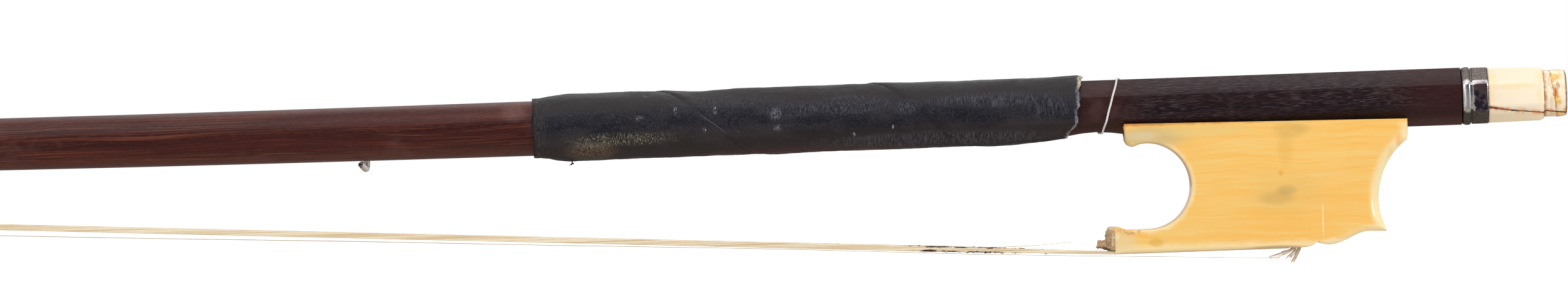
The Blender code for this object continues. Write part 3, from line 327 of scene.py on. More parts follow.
class Surface:
    """Finds places on a finished piece by casting rays at its middle line."""

    def __init__(self, thing):
        self.tree = BVHTree.FromObject(thing, bpy.context.evaluated_depsgraph_get())
        self.middles = {}

    def hit(self, origin, direction):
        return self.tree.ray_cast(origin, direction)[0]

    def middle(self, x):
        if x not in self.middles:
            above = self.hit(Vector((x, 0.002, 0.05)), Vector((0, 0, -1)))
            below = self.hit(Vector((x, 0.002, -0.03)), Vector((0, 0, 1)))
            self.middles[x] = (above.z + below.z) / 2
        return self.middles[x]

    def reach(self, x, angle):
        """How far the surface is from the middle line. Angles go from the underside by the far side."""
        out = Vector((0, math.sin(angle), -math.cos(angle)))
        centre = Vector((x, 0, self.middle(x)))
        return (self.hit(centre + out * 0.02, -out) - centre).length

    def at(self, x, angle, distance):
        """A point at a distance from the middle line."""
        return Vector((x, distance * math.sin(angle), self.middle(x) - distance * math.cos(angle)))

    def place(self, x, angle, lift=0):
        """A point at a height above the surface."""
        return self.at(x, angle, self.reach(x, angle) + lift)


# The finished stick's surface, for the pieces that lie on it
STICK = {}


def smooth_step(value):
    value = min(1, max(0, value))
    return value * value * (3 - 2 * value)


def arc(centre, radius, start, end, count):
    """Points (x, z) along an arc, angles in degrees from +X towards +Z."""
    turns = [math.radians(start + (end - start) * k / count) for k in range(count + 1)]
    return [(centre[0] + radius * math.cos(a), centre[1] + radius * math.sin(a)) for a in turns]


# Making finishes

class Signal:
    """What a node puts out. Arithmetic on it adds the Math nodes that do it."""

    def __init__(self, wiring, socket):
        self.wiring = wiring
        self.socket = socket

    def __add__(self, other):
        return self.wiring.math("ADD", self, other)

    def __sub__(self, other):
        return self.wiring.math("SUBTRACT", self, other)

    def __rsub__(self, other):
        return self.wiring.math("SUBTRACT", other, self)

    def __mul__(self, other):
        return self.wiring.math("MULTIPLY", self, other)

    def __rtruediv__(self, other):
        return self.wiring.math("DIVIDE", other, self)

    def __abs__(self):
        return self.wiring.math("ABSOLUTE", self)


class Outputs:
    """A node's outputs, by name or number, as signals."""

    def __init__(self, wiring, sockets):
        self.wiring = wiring
        self.sockets = sockets

    def __getitem__(self, key):
        return Signal(self.wiring, self.sockets[key])


class Wiring:
    """Adds and joins nodes in one shader tree, whose shader or output takes the results."""

    def __init__(self, tree, target):
        self.tree = tree
        self.target = target
        self.colour = None

    def join(self, value, socket):
        if isinstance(value, Signal):
            self.tree.links.new(value.socket, socket)
        else:
            socket.default_value = value

    def put(self, label, value):
        """Gives the shader or the group's output a value."""
        self.join(value, self.target[label])

    def add(self, kind, links=None, **settings):
        made = self.tree.nodes.new(kind)
        for key, value in settings.items():
            setattr(made, key, value)
        for key, value in (links or {}).items():
            self.join(value, made.inputs[key])
        return Outputs(self, made.outputs)

    def math(self, operation, *values, clamp=False):
        return self.add("ShaderNodeMath", dict(enumerate(values)), operation=operation, use_clamp=clamp)[0]

    def higher(self, one, other):
        return self.math("MAXIMUM", one, other)

    def lower(self, one, other):
        return self.math("MINIMUM", one, other)

    def below(self, value, limit):
        """1 where a value is under its limit."""
        return self.math("LESS_THAN", value, limit)

    def vector(self, operation, one, other=(0, 0, 0), output=0):
        return self.add("ShaderNodeVectorMath", {0: one, 1: other}, operation=operation)[output]

    def scaled(self, place, scale):
        return self.add("ShaderNodeVectorMath", {0: place, "Scale": scale}, operation="SCALE")[0]

    def combined(self, x, y, z):
        return self.add("ShaderNodeCombineXYZ", {"X": x, "Y": y, "Z": z})[0]

    def parts(self, place, axes="XYZ"):
        """The separate coordinates of a place."""
        split = self.add("ShaderNodeSeparateXYZ", {0: place})
        return [split[axis] for axis in axes]

    def stretch(self, place, scale, offset=(0, 0, 0), turn=(0, 0, 0)):
        links = {"Vector": place, "Scale": scale, "Location": offset, "Rotation": turn}
        return self.add("ShaderNodeMapping", links)[0]

    def noise(self, place, scale=1, detail=2, rough=0.5):
        links = {"Vector": place, "Scale": scale, "Detail": detail, "Roughness": rough}
        return self.add("ShaderNodeTexNoise", links)["Fac"]

    def streaks(self, place, scale, detail=2, rough=0.5, turn=(0, 0, 0)):
        """Noise with its own scale along each axis."""
        return self.noise(self.stretch(place, scale, turn=turn), 1, detail, rough)

    def lean(self, place, scale, detail, rise):
        """A place that wanders up and down by as much as a rise, so that lines on it waver."""
        return self.vector("ADD", place, self.combined(0, 0, self.streaks(place, scale, detail) * rise))

    def span(self, value, low, high, to_low=0, to_high=1):
        """A smooth change from one value to another while a signal goes from low to high."""
        links = {"Value": value, "From Min": low, "From Max": high, "To Min": to_low, "To Max": to_high}
        return self.add("ShaderNodeMapRange", links, interpolation_type="SMOOTHSTEP")[0]

    def fade(self, value, low, high):
        return self.span(value, low, high, 1, 0)

    def spot(self, place, centre, radii):
        """A soft oval patch round a point, as a mask."""
        moved = self.stretch(place, [1 / r for r in radii], [-c / r for c, r in zip(centre, radii)])
        return self.fade(self.vector("LENGTH", moved, output="Value"), 0.35, 1)

    def mix(self, factor, one, other):
        return self.add("ShaderNodeMix", {0: factor, 6: one, 7: other}, data_type="RGBA")[2]

    def paint(self, mask, tone):
        """Lays a tone over the colour so far, where the mask says."""
        self.colour = self.mix(mask, self.colour, tone)

    def group(self, name, **values):
        links = {key.replace("_", " "): value for key, value in values.items()}
        return self.add("ShaderNodeGroup", links, node_tree=bpy.data.node_groups[name])

    def blotches(self, place, size, low, high, ragged=3):
        return self.group("Blotches", Place=place, Size=size, Low=low, High=high, Ragged=ragged)["Mask"]

    def specks(self, place, spacing, share, dot):
        return self.group("Specks", Place=place, Spacing=spacing, Share=share, Dot=dot)["Mask"]

    def bump(self, height, depth):
        """Joins a height from 0 to 1 to the shader, as a relief of a depth in millimetres."""
        links = {"Height": height, "Strength": 1, "Distance": depth * MM}
        self.put("Normal", self.add("ShaderNodeBump", links)[0])


def rgb(red, green, blue):
    """A colour as it is seen on screen, from 0 to 255, in the values that shaders use."""
    channels = []
    for value in (red, green, blue):
        share = value / 255
        channels.append(share / 12.92 if share <= 0.04045 else ((share + 0.055) / 1.055) ** 2.4)
    return (*channels, 1)


def new_group(name, inputs, outputs):
    """A shader node group with its sockets: (label, default) going in, labels going out."""
    tree = bpy.data.node_groups.new(name, "ShaderNodeTree")
    kinds = {float: "NodeSocketFloat", tuple: "NodeSocketColor", type(None): "NodeSocketVector"}
    for label, default in inputs:
        socket = tree.interface.new_socket(label, in_out="INPUT", socket_type=kinds[type(default)])
        if default is not None:
            socket.default_value = default
    for label in outputs:
        kind = "NodeSocketColor" if label == "Colour" else "NodeSocketFloat"
        tree.interface.new_socket(label, in_out="OUTPUT", socket_type=kind)
    wiring = Wiring(tree, tree.nodes.new("NodeGroupOutput").inputs)
    return wiring, wiring.add("NodeGroupInput")


def new_finish(name, roughness=0.5, specular=0.5, metallic=0, stretches=False):
    """A material, its wiring, and the place on the piece in millimetres, at rest if the piece stretches."""
    finish = bpy.data.materials.new(name)
    finish.use_nodes = True
    w = Wiring(finish.node_tree, finish.node_tree.nodes["Principled BSDF"].inputs)
    w.put("Roughness", roughness)
    w.put("Specular IOR Level", specular)
    w.put("Metallic", metallic)
    if stretches:
        place = w.add("ShaderNodeAttribute", attribute_name="place_at_rest")["Vector"]
    else:
        place = w.add("ShaderNodeTexCoord")["Object"]
    return finish, w, w.scaled(place, 1 / MM)


def make_groups():
    """The effects that more than one finish uses."""
    make_grain_group()
    make_blotch_group()
    make_speck_group()
    make_ivory_group()
    make_strand_group()
    make_twist_group()


def make_grain_group():
    """Long wood grain: soft broad streaks, fine light threads in patches and short pores."""
    w, given = new_group("Long Grain", (("Place", None), ("Dark", rgb(50, 26, 26)),
                                        ("Middle", rgb(86, 46, 40)), ("Light", rgb(128, 76, 52)),
                                        ("Threads", 0.5), ("Pores", 0.5),
                                        ("Pore Colour", rgb(110, 98, 105))), ("Colour", "Height"))
    place = w.lean(given["Place"], (0.05, 0.2, 0.2), 1, 1.6)
    broad = w.streaks(place, (0.012, 0.5, 0.5), 6, 0.8)
    colour = w.mix(w.span(broad, 0.32, 0.64), given["Dark"], given["Middle"])
    fine = w.streaks(place, (0.03, 4.6, 4.6), 4, 0.65)
    patches = w.span(w.streaks(place, (0.03, 0.4, 0.4), 2), 0.3, 0.56)
    threads = w.span(fine, 0.48, 0.68) * given["Threads"] * patches
    colour = w.mix(threads, colour, given["Light"])
    dashes = w.streaks(place, (0.8, 9, 9), 2, 0.5)
    pore = w.span(dashes, 0.5, 0.68)
    w.put("Colour", w.mix(pore * given["Pores"], colour, given["Pore Colour"]))
    w.put("Height", fine * 0.5 - pore * 0.5)


def make_blotch_group():
    """Soft patches of any size, as a mask."""
    w, given = new_group("Blotches", (("Place", None), ("Size", 5.0), ("Low", 0.45), ("High", 0.6),
                                      ("Ragged", 3.0)), ("Mask",))
    value = w.noise(w.scaled(given["Place"], 1 / given["Size"]), 1, given["Ragged"], 0.6)
    w.put("Mask", w.span(value, given["Low"], given["High"]))


def make_speck_group():
    """Small scattered dots, as a mask."""
    w, given = new_group("Specks", (("Place", None), ("Spacing", 2.0), ("Share", 0.3), ("Dot", 0.12)),
                         ("Mask",))
    links = {"Vector": given["Place"], "Scale": 1 / given["Spacing"]}
    cells = w.add("ShaderNodeTexVoronoi", links)
    chosen = w.below(w.add("ShaderNodeSeparateColor", {0: cells["Color"]})[0], given["Share"])
    links = {"Value": cells["Distance"], "From Max": given["Dot"], "To Min": 1, "To Max": 0}
    near = w.add("ShaderNodeMapRange", links)[0]
    w.put("Mask", w.math("MULTIPLY", chosen, near, clamp=True))


def make_ivory_group():
    """Ivory: an amber heart, pale rims, and fine wavy growth lines along the bow."""
    w, given = new_group("Ivory", (("Place", None), ("Heart", rgb(243, 190, 100)),
                                   ("Pale", rgb(240, 214, 150)), ("Rim", rgb(238, 226, 190)),
                                   ("Rim Mask", 0.0), ("Lines", 0.5)), ("Colour", "Height"))
    place = w.lean(given["Place"], (0.09, 0.2, 0.12), 2, 2.2)
    lines = w.streaks(place, (0.09, 0.35, 2.3), 4, 0.65)
    broad = w.streaks(place, (0.05, 0.1, 0.16), 2, 0.5)
    tone = broad * 0.35 + lines * 0.75 * given["Lines"]
    colour = w.mix(w.span(tone, 0.38, 0.78), given["Heart"], given["Pale"])
    w.put("Colour", w.mix(given["Rim Mask"], colour, given["Rim"]))
    w.put("Height", lines)


def make_strand_group():
    """Hair: pale strands that differ a little from each other, streaked along their length."""
    w, given = new_group("Strands", (("Place", None), ("Pale", rgb(246, 236, 214)),
                                     ("Tan", rgb(226, 198, 152)), ("Dirt", rgb(66, 42, 32)),
                                     ("Dirt Mask", 0.0)), ("Colour", "Height"))
    streaks = w.streaks(given["Place"], (0.015, 4, 4), 3, 0.6)
    colour = w.mix(w.span(streaks, 0.35, 0.68), given["Pale"], given["Tan"])
    w.put("Colour", w.mix(given["Dirt Mask"], colour, given["Dirt"]))
    w.put("Height", streaks)


def make_twist_group():
    """Fibres of a twisted thread."""
    w, given = new_group("Fibres", (("Place", None), ("Pale", rgb(232, 228, 226)),
                                    ("Grey", rgb(202, 194, 192))), ("Colour", "Height"))
    fibres = w.noise(given["Place"], 9, 3, 0.6)
    w.put("Colour", w.mix(w.span(fibres, 0.35, 0.7), given["Pale"], given["Grey"]))
    w.put("Height", fibres)


# Finishes

def wood_finish():
    bow = bpy.context.scene.bow_wood
    finish, w, place = new_finish("dark_streaked_wood", 0.36, 0.17)
    x, z = w.parts(place, "XZ")
    body = w.group("Long Grain", Place=place, Dark=(*bow.shade, 1), Middle=(*bow.body, 1),
                   Light=(*bow.thread, 1), Threads=0.6, Pores=0.1, Pore_Colour=rgb(108, 76, 68))
    patch = w.streaks(place, (0.05, 0.3, 0.3), 3)
    flecked = w.span(x, -72, -60) * w.span(x, -26, -17, 1, 0.35)
    flecked *= w.span(patch + z * 0.03, 0.3, 0.6, 0.35, 1)
    handle = w.group("Long Grain", Place=place, Dark=rgb(25, 15, 19), Middle=rgb(36, 21, 24),
                     Light=rgb(58, 32, 31), Threads=0.4, Pores=flecked * 0.5, Pore_Colour=rgb(90, 80, 88))
    red = w.higher(w.fade(x, -70, -62), w.span(x, -30, -20))
    warm = w.mix(red * 0.55, handle["Colour"], rgb(60, 28, 27))
    # Painted highlight: the handle turns lighter and greyer towards its top, where the light from above
    # falls on it.
    warm = w.mix(w.span(z, 1.4, 4.1, 0, 0.3), warm, rgb(76, 62, 64))
    # Painted reflection: the handle turns lighter and browner towards its underside, where it reflects the
    # bright floor.
    warm = w.mix(w.span(z, -4.1, -2.4, 0.45, 0), warm, rgb(86, 60, 54))
    at_handle = w.span(x, -100, -76)
    # Painted highlight: the mask named worn makes the round stick lighter in bands along its top and its
    # underside, away from its middle line, where it reflects the bright surround.
    off_middle = abs(z + patch * 1.2 - 0.9)
    worn = w.span(off_middle, 1.6, 4) * w.span(x, -330, -240)
    w.colour = w.mix(worn * 0.32, body["Colour"], rgb(102, 62, 56))
    w.paint(at_handle, warm)
    dust = w.specks(place, 3.4, 0.3, 0.03)
    w.paint(dust * 0.8, rgb(190, 170, 160))
    haze = w.blotches(place, 6, 0.55, 0.75)
    bloom = w.spot(place, (-158.6, -4, 2.6), (2.6, 5, 2)) * w.noise(place, 1.2, 5, 0.7)
    w.paint(w.math("ADD", haze * 0.08, bloom * 0.36, clamp=True), rgb(150, 112, 106))
    w.put("Base Color", w.colour)
    w.put("Roughness", haze * 0.16 + 0.33)
    w.bump(body["Height"], 0.03)
    return finish


def leather_finish():
    grip = bpy.context.scene.bow_grip
    finish, w, place = new_finish("worn_black_leather", 0.5, 0.22)
    x, z = w.parts(place, "XZ")
    mottle = w.noise(place, 3.8, 5, 0.85)
    drift = w.noise(place, 0.4, 3)
    # The black middle band turns greyer towards the top, a painted highlight where light falls on the round
    # grip, and brown towards the underside.
    across = w.span(z + drift * 2, -1.6, 0.8)
    across *= w.fade(z + drift, 2.2, 3.6)
    dark = w.mix(across, w.mix(w.span(z, -1, 3.6), (*grip.brown, 1), rgb(33, 28, 27)),
                 (*grip.leather, 1))
    # The blue-grey mottle, strongest in the black middle band, is partly the leather's own and partly a
    # painted sheen.
    w.colour = w.mix(w.span(mottle, 0.45, 0.68) * w.span(across, 0, 1, 0.4, 1), dark, rgb(56, 54, 70))
    worn = w.blotches(w.stretch(place, (0.35, 1, 0.8)), 2.6, 0.42, 0.66, 5)
    w.paint(worn * 0.32, rgb(64, 57, 58))
    strokes = w.streaks(place, (5.5, 2.4, 1.8), 5, 0.8, turn=(0, 0.5, 0))
    wrinkles = w.streaks(place, (5, 0.7, 1.1), 4, 0.75)
    # Light blue-grey marks: the strokes are partly real scuffs; the cloud near x -99 and the patches over
    # the wrinkles near x -87 and -78 are a painted sheen.
    scuffs_and_sheen = 0
    for centre, radii, marks, strength in (
        ((-107.6, -4, 1.9), (8, 4, 1.9), strokes, 0.75),
        ((-99.4, -4, 1.3), (2.8, 4, 1.5), strokes, 0.7),
        ((-116.5, -4, 1.5), (7, 4, 1.6), strokes, 0.6),
        ((-87, -4, 1.9), (13, 4, 1.5), wrinkles, 0.5),
        ((-78, -4, 0.6), (5, 4, 2.6), wrinkles, 0.45),
        ((-95, -3.5, -3.7), (24, 4, 1.7), wrinkles, 0.6),
        ((-126, -4, 3), (12, 4, 1), strokes, 0.45),
    ):
        patch = w.spot(place, centre, radii) * w.span(marks, 0.44, 0.62)
        scuffs_and_sheen = w.higher(scuffs_and_sheen, patch * strength)
    w.paint(scuffs_and_sheen * 0.72, rgb(108, 107, 120))
    flush = w.spot(place, (-114, -2.4, -4.9), (25, 4, 1.1))
    w.paint(flush * 0.42, rgb(80, 48, 46))
    fibres = w.span(w.streaks(place, (6, 3, 2.4), 4, 0.8, turn=(0, 0.4, 0)), 0.49, 0.62)
    thin = w.spot(place, (-142.3, -4.4, -2.1), (11, 3, 1.4)) * fibres
    crumbly = w.noise(place, 3.4, 4, 0.8)
    thick = w.spot(place, (-147, -3.4, -3.9), (5.2, 3.2, 2.1)) * w.span(crumbly, 0.4, 0.58, 0.12, 1)
    bare = w.mix(w.span(crumbly, 0.5, 0.66), (*grip.bare, 1), rgb(126, 108, 84))
    bare = w.mix(w.span(z, -3.4, -2.7), bare, rgb(136, 130, 108))
    w.paint(w.higher(thin, thick) * 0.9, bare)
    for (x_middle, z_middle), (length, height), strength in (
        ((-134.2, 2), (0.35, 0.8), 0.95), ((-128.2, 1.8), (0.4, 0.8), 0.9),
        ((-139.6, 1), (0.9, 0.5), 0.5), ((-119.2, 0.9), (1.2, 1.2), 0.5),
        ((-129.9, -1.1), (0.35, 0.6), 0.5), ((-118.9, -1.2), (0.8, 0.6), 0.45),
        ((-107.5, -2.6), (0.4, 0.5), 0.8), ((-101.6, -1.6), (0.25, 0.4), 0.7),
    ):
        mark = w.spot(place, (x_middle, -4.9, z_middle), (length, 2, height)) * fibres
        w.paint(mark * strength, rgb(190, 192, 204))
    pale = w.specks(place, 1.6, 0.35, 0.08)
    w.paint(pale * 0.4, rgb(150, 150, 140))
    off_line = abs(z + x * 0.8 + 102.8 + drift * 0.6)
    line = w.fade(off_line, 0.02, 0.1) * w.spot(place, (-128.4, -4.5, -0.2), (3.8, 3, 2.8))
    w.paint(line * 0.5, rgb(120, 116, 122))
    lip = w.fade(x, -155.4, -152.6) * w.span(wrinkles, 0.42, 0.6)
    w.paint(lip * 0.4, rgb(86, 84, 76))
    w.paint(w.span(x, -155.7, -155.3, 0.9, 0), rgb(20, 18, 18))
    share = w.parts(w.add("ShaderNodeTexCoord")["UV"], "X")[0]
    torn = w.span(share, 0.991, 1) * w.span(wrinkles, 0.4, 0.56)
    w.paint(torn * 0.8, rgb(160, 160, 172))
    frayed = w.spot(place, (-73.1, -3, 4), (0.75, 5, 2.2)) * w.span(wrinkles, 0.36, 0.52)
    w.paint(frayed * 0.8, rgb(206, 192, 164))
    w.put("Base Color", w.colour)
    w.put("Roughness", w.span(mottle + worn, 0.3, 1.3, 0.38, 0.62))
    pebbles = w.add("ShaderNodeTexVoronoi", {"Vector": place, "Scale": 3.4})["Distance"]
    w.bump(pebbles * 0.4 + mottle * 0.6 + (scuffs_and_sheen + lip) * 0.8, 0.08)
    return finish


def frog_edges(w, place):
    """How far a point of the frog's side is from its throat, heel, underside and nose, in millimetres."""
    x, z = w.parts(place, "XZ")
    flat = w.combined(x, 0, z)

    def beyond(centre, radius):
        return w.vector("DISTANCE", flat, (centre[0], 0, centre[1]), "Value") - radius

    ogee = z - w.span(x, -37, -29.5, FROG_BOTTOM, FROG_BOTTOM + 2.1)
    return {
        "throat": abs(beyond(THROAT_CENTRE, THROAT_RADIUS)),
        "heel": abs(beyond(WAIST_CENTRE, WAIST_RADIUS)),
        "under": w.lower(z - FROG_BOTTOM, ogee),
        "nose": x - NOSE_X,
    }


def frog_finish():
    frog = bpy.context.scene.bow_frog
    finish, w, place = new_finish("amber_ivory", 0.2, 0.5)
    edges = frog_edges(w, place)
    x, z = w.parts(place, "XZ")
    drift = w.noise(place, 0.6, 3) - 0.5

    def band(edge, width, strength, wander=1):
        moved = edges[edge] + drift * wander
        return w.fade(moved, 0.25 * width, width) * strength

    # Pale rims along the throat, heel and underside: partly the ivory's own paler edge, partly a painted
    # highlight on the rounded edges, widest and palest on the heel.
    rim = w.higher(band("throat", 0.9, 0.6), band("heel", 2, 0.9, 0.4))
    rim = w.higher(rim, band("under", 1.6, 0.7))
    ivory = w.group("Ivory", Place=place, Heart=(*frog.heart, 1), Pale=rgb(240, 200, 120),
                    Rim=(*frog.rim, 1), Rim_Mask=rim, Lines=1)
    w.colour = ivory["Colour"]
    for (x_middle, z_middle), (length, height), tone, strength in (
        ((-43.2, -13.6), (8, 5), (214, 184, 108), 0.25),
        ((-44.4, -14.3), (3.6, 1.4), (150, 130, 86), 0.26),
        ((-42.8, -13.2), (2.2, 1), (140, 124, 84), 0.3),
        ((-42.1, -4.2), (3.4, 1.7), (158, 128, 70), 0.2),
        ((-40.2, -3.9), (2, 1), (168, 132, 76), 0.14),
        ((-43.6, -10.6), (0.55, 0.55), (228, 156, 50), 0.55),
        ((-42.8, -7), (1.6, 3.4), (222, 164, 66), 0.3),
        ((-62.7, -20.4), (1.5, 0.9), (216, 168, 64), 0.55),
        ((-63, -4.6), (7.5, 2.2), (200, 176, 124), 0.75),
        # The pale streak along the top of the nose is a painted highlight.
        ((-64.4, -4.3), (3.6, 1), (220, 208, 176), 0.4),
        ((-67.9, -20.3), (3.2, 2.4), (226, 206, 158), 0.6),
        ((-69.2, -19.3), (1.4, 0.9), (240, 228, 194), 0.6),
        ((-55, -3.9), (9, 1.4), (226, 198, 128), 0.5),
        ((-25.5, -6.3), (0.9, 1.5), (240, 156, 56), 0.6),
        ((-27, -9), (0.7, 2.2), (246, 196, 112), 0.5),
        ((-26.6, -12.6), (0.5, 2.6), (244, 180, 90), 0.6),
        # The thin brown line along the bottom edge is painted shade of the underside.
        ((-44.8, -21.8), (5.5, 0.45), (140, 100, 70), 0.45),
        ((-35.5, -21.2), (2.5, 0.6), (250, 232, 190), 0.6),
    ):
        centre = (x_middle, -FROG_HALF_WIDTH, z_middle)
        w.paint(w.spot(place, centre, (length, 6, height)) * strength, rgb(*tone))
    worn = w.spot(place, (-66.4, -4.7, -18.5), (2.6, 6, 0.9)) * w.span(w.noise(place, 2.4, 5), 0.4, 0.6)
    w.paint(worn * 0.75, rgb(196, 146, 112))
    # Painted shadow: a brown line along the frog's top edge, in the narrow gap under the stick,
    # orange-brown towards the front.
    top = w.span(z + drift * 0.5, -3.05, -2.45)
    stain_and_shade = w.mix(w.span(x, -54, -46), rgb(172, 100, 40), rgb(150, 104, 60))
    w.paint(top * 0.8, stain_and_shade)
    nose = w.fade(edges["nose"] + drift * 0.3, -0.42, -0.05)
    low = w.span(z, -8, -6)
    w.paint(nose * low * 0.6, rgb(150, 98, 66))
    rear = w.span(x, -26.2, -24.7) * w.span(z, -3.2, -3.8)
    w.paint(rear * 0.6, (*frog.rim, 1))
    # Painted shade: a thin pinkish-brown line at the very edge of the throat and of the underside, where
    # the surface turns away from the light.
    edge_shade_line = w.higher(w.fade(edges["throat"], 0, 0.22), w.fade(edges["under"], 0.02, 0.16))
    w.paint(edge_shade_line * 0.5, rgb(212, 160, 118))
    scratch = w.spot(place, (-37.5, -4.7, -17.9), (0.14, 3, 3.6))
    w.paint(scratch * 0.6, rgb(252, 232, 186))
    w.put("Base Color", w.colour)
    w.bump(ivory["Height"], 0.02)
    return finish


def rust_patches(w, place):
    return w.span(w.noise(place, 2.2, 4), 0.42, 0.6)


def pale_ivory_finish():
    finish, w, place = new_finish("pale_ivory", 0.22, 0.5)
    ivory = w.group("Ivory", Place=place, Heart=rgb(247, 230, 203), Pale=rgb(250, 240, 224),
                    Rim=rgb(236, 218, 182), Rim_Mask=0, Lines=0.5)
    x, y, z = w.parts(place)
    near = w.fade(y, -0.6, 0.2)
    w.colour = ivory["Colour"]
    for centre, radii in (
        ((-11.5, -3.6, 2.2), (1.3, 3, 2.2)), ((-4, -3.6, 2.5), (1, 3, 1.8)),
        ((-4, -4, -0.2), (1.1, 2, 1.7)), ((-11.6, -4, -0.2), (1, 2, 1.5)),
        ((-8, -3.2, 1.2), (5, 3, 0.7)),
    ):
        w.paint(w.spot(place, centre, radii) * 0.36, rgb(247, 216, 146))
    lower = w.span(z, -2.3, -3.2) * near
    w.paint(lower * 0.55, rgb(222, 196, 152))
    ragged = w.noise(place, 1.6, 5, 0.7) - 0.5
    steep = x * -0.17 - 3.82
    flat = x * -0.1 - 3.22
    crack_line = w.higher(steep, flat) + w.span(x, -3.6, -3.4, 0, 0.26)
    off = abs(z - crack_line - ragged * 0.16)
    here = w.span(x, -12.2, -11.8) * near
    width = w.span(x, -11, -5, 0.34, 0.2) * w.streaks(place, (1.1, 0.2, 0.2), 3)
    crack = w.below(off, width) * here
    glow = w.span(off, 0.1, 0.62, 0.75, 0) * here
    glow *= w.span(w.noise(place, 1.3, 3), 0.35, 0.6)
    w.paint(glow, rgb(226, 146, 60))
    nipple = w.span(x, -3.55, -3.45)
    cap = w.span(x + z * 0.14, -2.3, -2)
    ochre = w.blotches(w.stretch(place, (1, 1, 0.7)), 1.6, 0.4, 0.64, 4)
    stained = ochre * nipple * w.span(cap, 0, 1, 0.3, 0.9)
    w.paint(stained, w.mix(rust_patches(w, place), rgb(246, 214, 112), rgb(232, 164, 66)))
    darker = w.blotches(w.stretch(place, (1, 1, 0.5), (7, 3, 5)), 1, 0.56, 0.7, 4)
    w.paint(darker * nipple * 0.7, rgb(186, 116, 60))
    off_seam = abs(x + z * 0.14 + ragged * 0.5 + 2.05)
    broken = w.span(w.streaks(place, (0.3, 0.9, 0.9), 3), 0.35, 0.6, 0.25, 0.95)
    line = w.fade(off_seam, 0.02, 0.2) * near * broken
    w.paint(line, rgb(168, 112, 60))
    drop = w.spot(place, (-1.85, -3.4, 0.1), (0.3, 2, 1)) * 0.9
    w.paint(drop, rgb(196, 96, 30))
    step = abs(x + ragged * 0.25 + 3.4)
    stain_and_shade = w.fade(step, 0.04, 0.42) * w.span(z, -3, 2, 1, 0.6)
    w.paint(stain_and_shade * broken, w.mix(rust_patches(w, place), rgb(214, 140, 70), rgb(130, 74, 40)))
    # Painted shade: a dark purple-brown rim round the button's end, where its rounded edge turns away from
    # the light.
    out = w.vector("LENGTH", w.combined(0, y, z), output="Value")
    end = w.span(x, -0.42, -0.22) * w.span(out, 2.95, 3.3)
    w.paint(end * 0.9, rgb(84, 40, 52))
    foot = w.fade(x, -11.98, -11.66) * w.span(x, -12.4, -12.2)
    w.paint(foot * 0.8, rgb(120, 62, 30))
    rust = w.span(w.streaks(place, (1.4, 1, 2), 3), 0.45, 0.6)
    w.paint(crack * 0.92, w.mix(rust, rgb(70, 36, 24), rgb(176, 88, 30)))
    w.put("Base Color", w.colour)
    w.bump(ivory["Height"] - crack * 2, 0.04)
    return finish


def ring_finish():
    """Old silver: polished bead, blue-black near flat and crust on the other facets."""
    finish, w, place = new_finish("tarnished_silver", 0.28, 0.5, 1)
    x, y, z = w.parts(place)
    near = w.fade(y, -3.9, -3.5)
    fine = w.noise(place, 5, 5, 0.8)
    crust = w.mix(w.span(fine, 0.36, 0.68), rgb(78, 71, 69), rgb(152, 142, 136))
    green = w.specks(place, 0.5, 0.4, 0.3)
    crust = w.mix(green * w.span(z, -1.6, -2.4) * 0.35, crust, rgb(150, 150, 100))
    clouds = w.blotches(place, 1.4, 0.42, 0.6, 5)
    bright = w.mix(clouds * 0.5, rgb(240, 240, 240), rgb(150, 144, 144))
    sides = w.span(x, -14.6, -13.3) * w.fade(x, -12.5, -11.7)
    ends = w.span(z, -3.2, -1.7) * w.fade(z, 1.3, 2.5)
    wander = (w.noise(place, 1.2, 5, 0.7) - 0.5) * 1.4
    ragged = w.span(sides * ends + wander, 0.3, 0.42)
    violet = w.noise(place, 1.1, 4, 0.6) + w.span(x + z, -13.6, -12, -0.1, 0.1)
    cloud = w.mix(w.span(violet, 0.4, 0.62), rgb(62, 60, 80), rgb(146, 124, 130))
    flat = w.mix(ragged, bright, cloud)
    tint = w.mix(w.span(w.noise(place, 1.6, 2), 0.42, 0.58), rgb(206, 120, 206), rgb(130, 206, 160))
    flat = w.mix(w.spot(place, (-14.75, -4.2, 0.4), (0.5, 2, 2)) * 0.5, flat, tint)
    w.colour = w.mix(near, crust, flat)
    w.put("Base Color", w.colour)
    polish = w.span(near, 0, 1, 0.5, 0.16) + ragged * 0.12
    w.put("Roughness", polish + near * w.span(x, -14.72, -14.6, 0.13, 0))
    w.bump(fine * w.span(near, 0, 1, 1, 0.15), 0.05)
    return finish


def wire_finish():
    """Worn silver, grey-brown and rough where it was cut off."""
    finish, w, place = new_finish("dull_silver_wire", 0.5, 0.5, 0.6)
    patches = w.blotches(place, 0.9, 0.4, 0.62, 4)
    w.colour = w.mix(patches, rgb(228, 222, 220), rgb(186, 178, 176))
    x, y = w.parts(place, "XY")
    cut = w.fade(y * 0.79 + x, -182.8, -182.68)
    pits = w.noise(place, 3, 3, 0.6)
    w.paint(cut, w.mix(w.span(pits, 0.4, 0.6), rgb(82, 70, 68), rgb(134, 122, 120)))
    w.put("Base Color", w.colour)
    w.put("Roughness", w.span(cut, 0, 1, 0.42, 0.7))
    w.bump(pits + cut, 0.025)
    return finish


def plain_metal_finish(name, bright, dull, ring_pitch):
    """Turned or filed metal with fine marks and dull patches."""
    finish, w, place = new_finish(name, 0.3, 0.5, 1)
    patches = w.blotches(place, 2.5, 0.42, 0.62, 4)
    w.put("Base Color", w.mix(patches, bright, dull))
    w.put("Roughness", w.span(patches, 0, 1, 0.25, 0.5))
    marks = w.streaks(place, (1 / ring_pitch, 0.1, 0.1), 2)
    w.bump(marks, 0.02)
    return finish


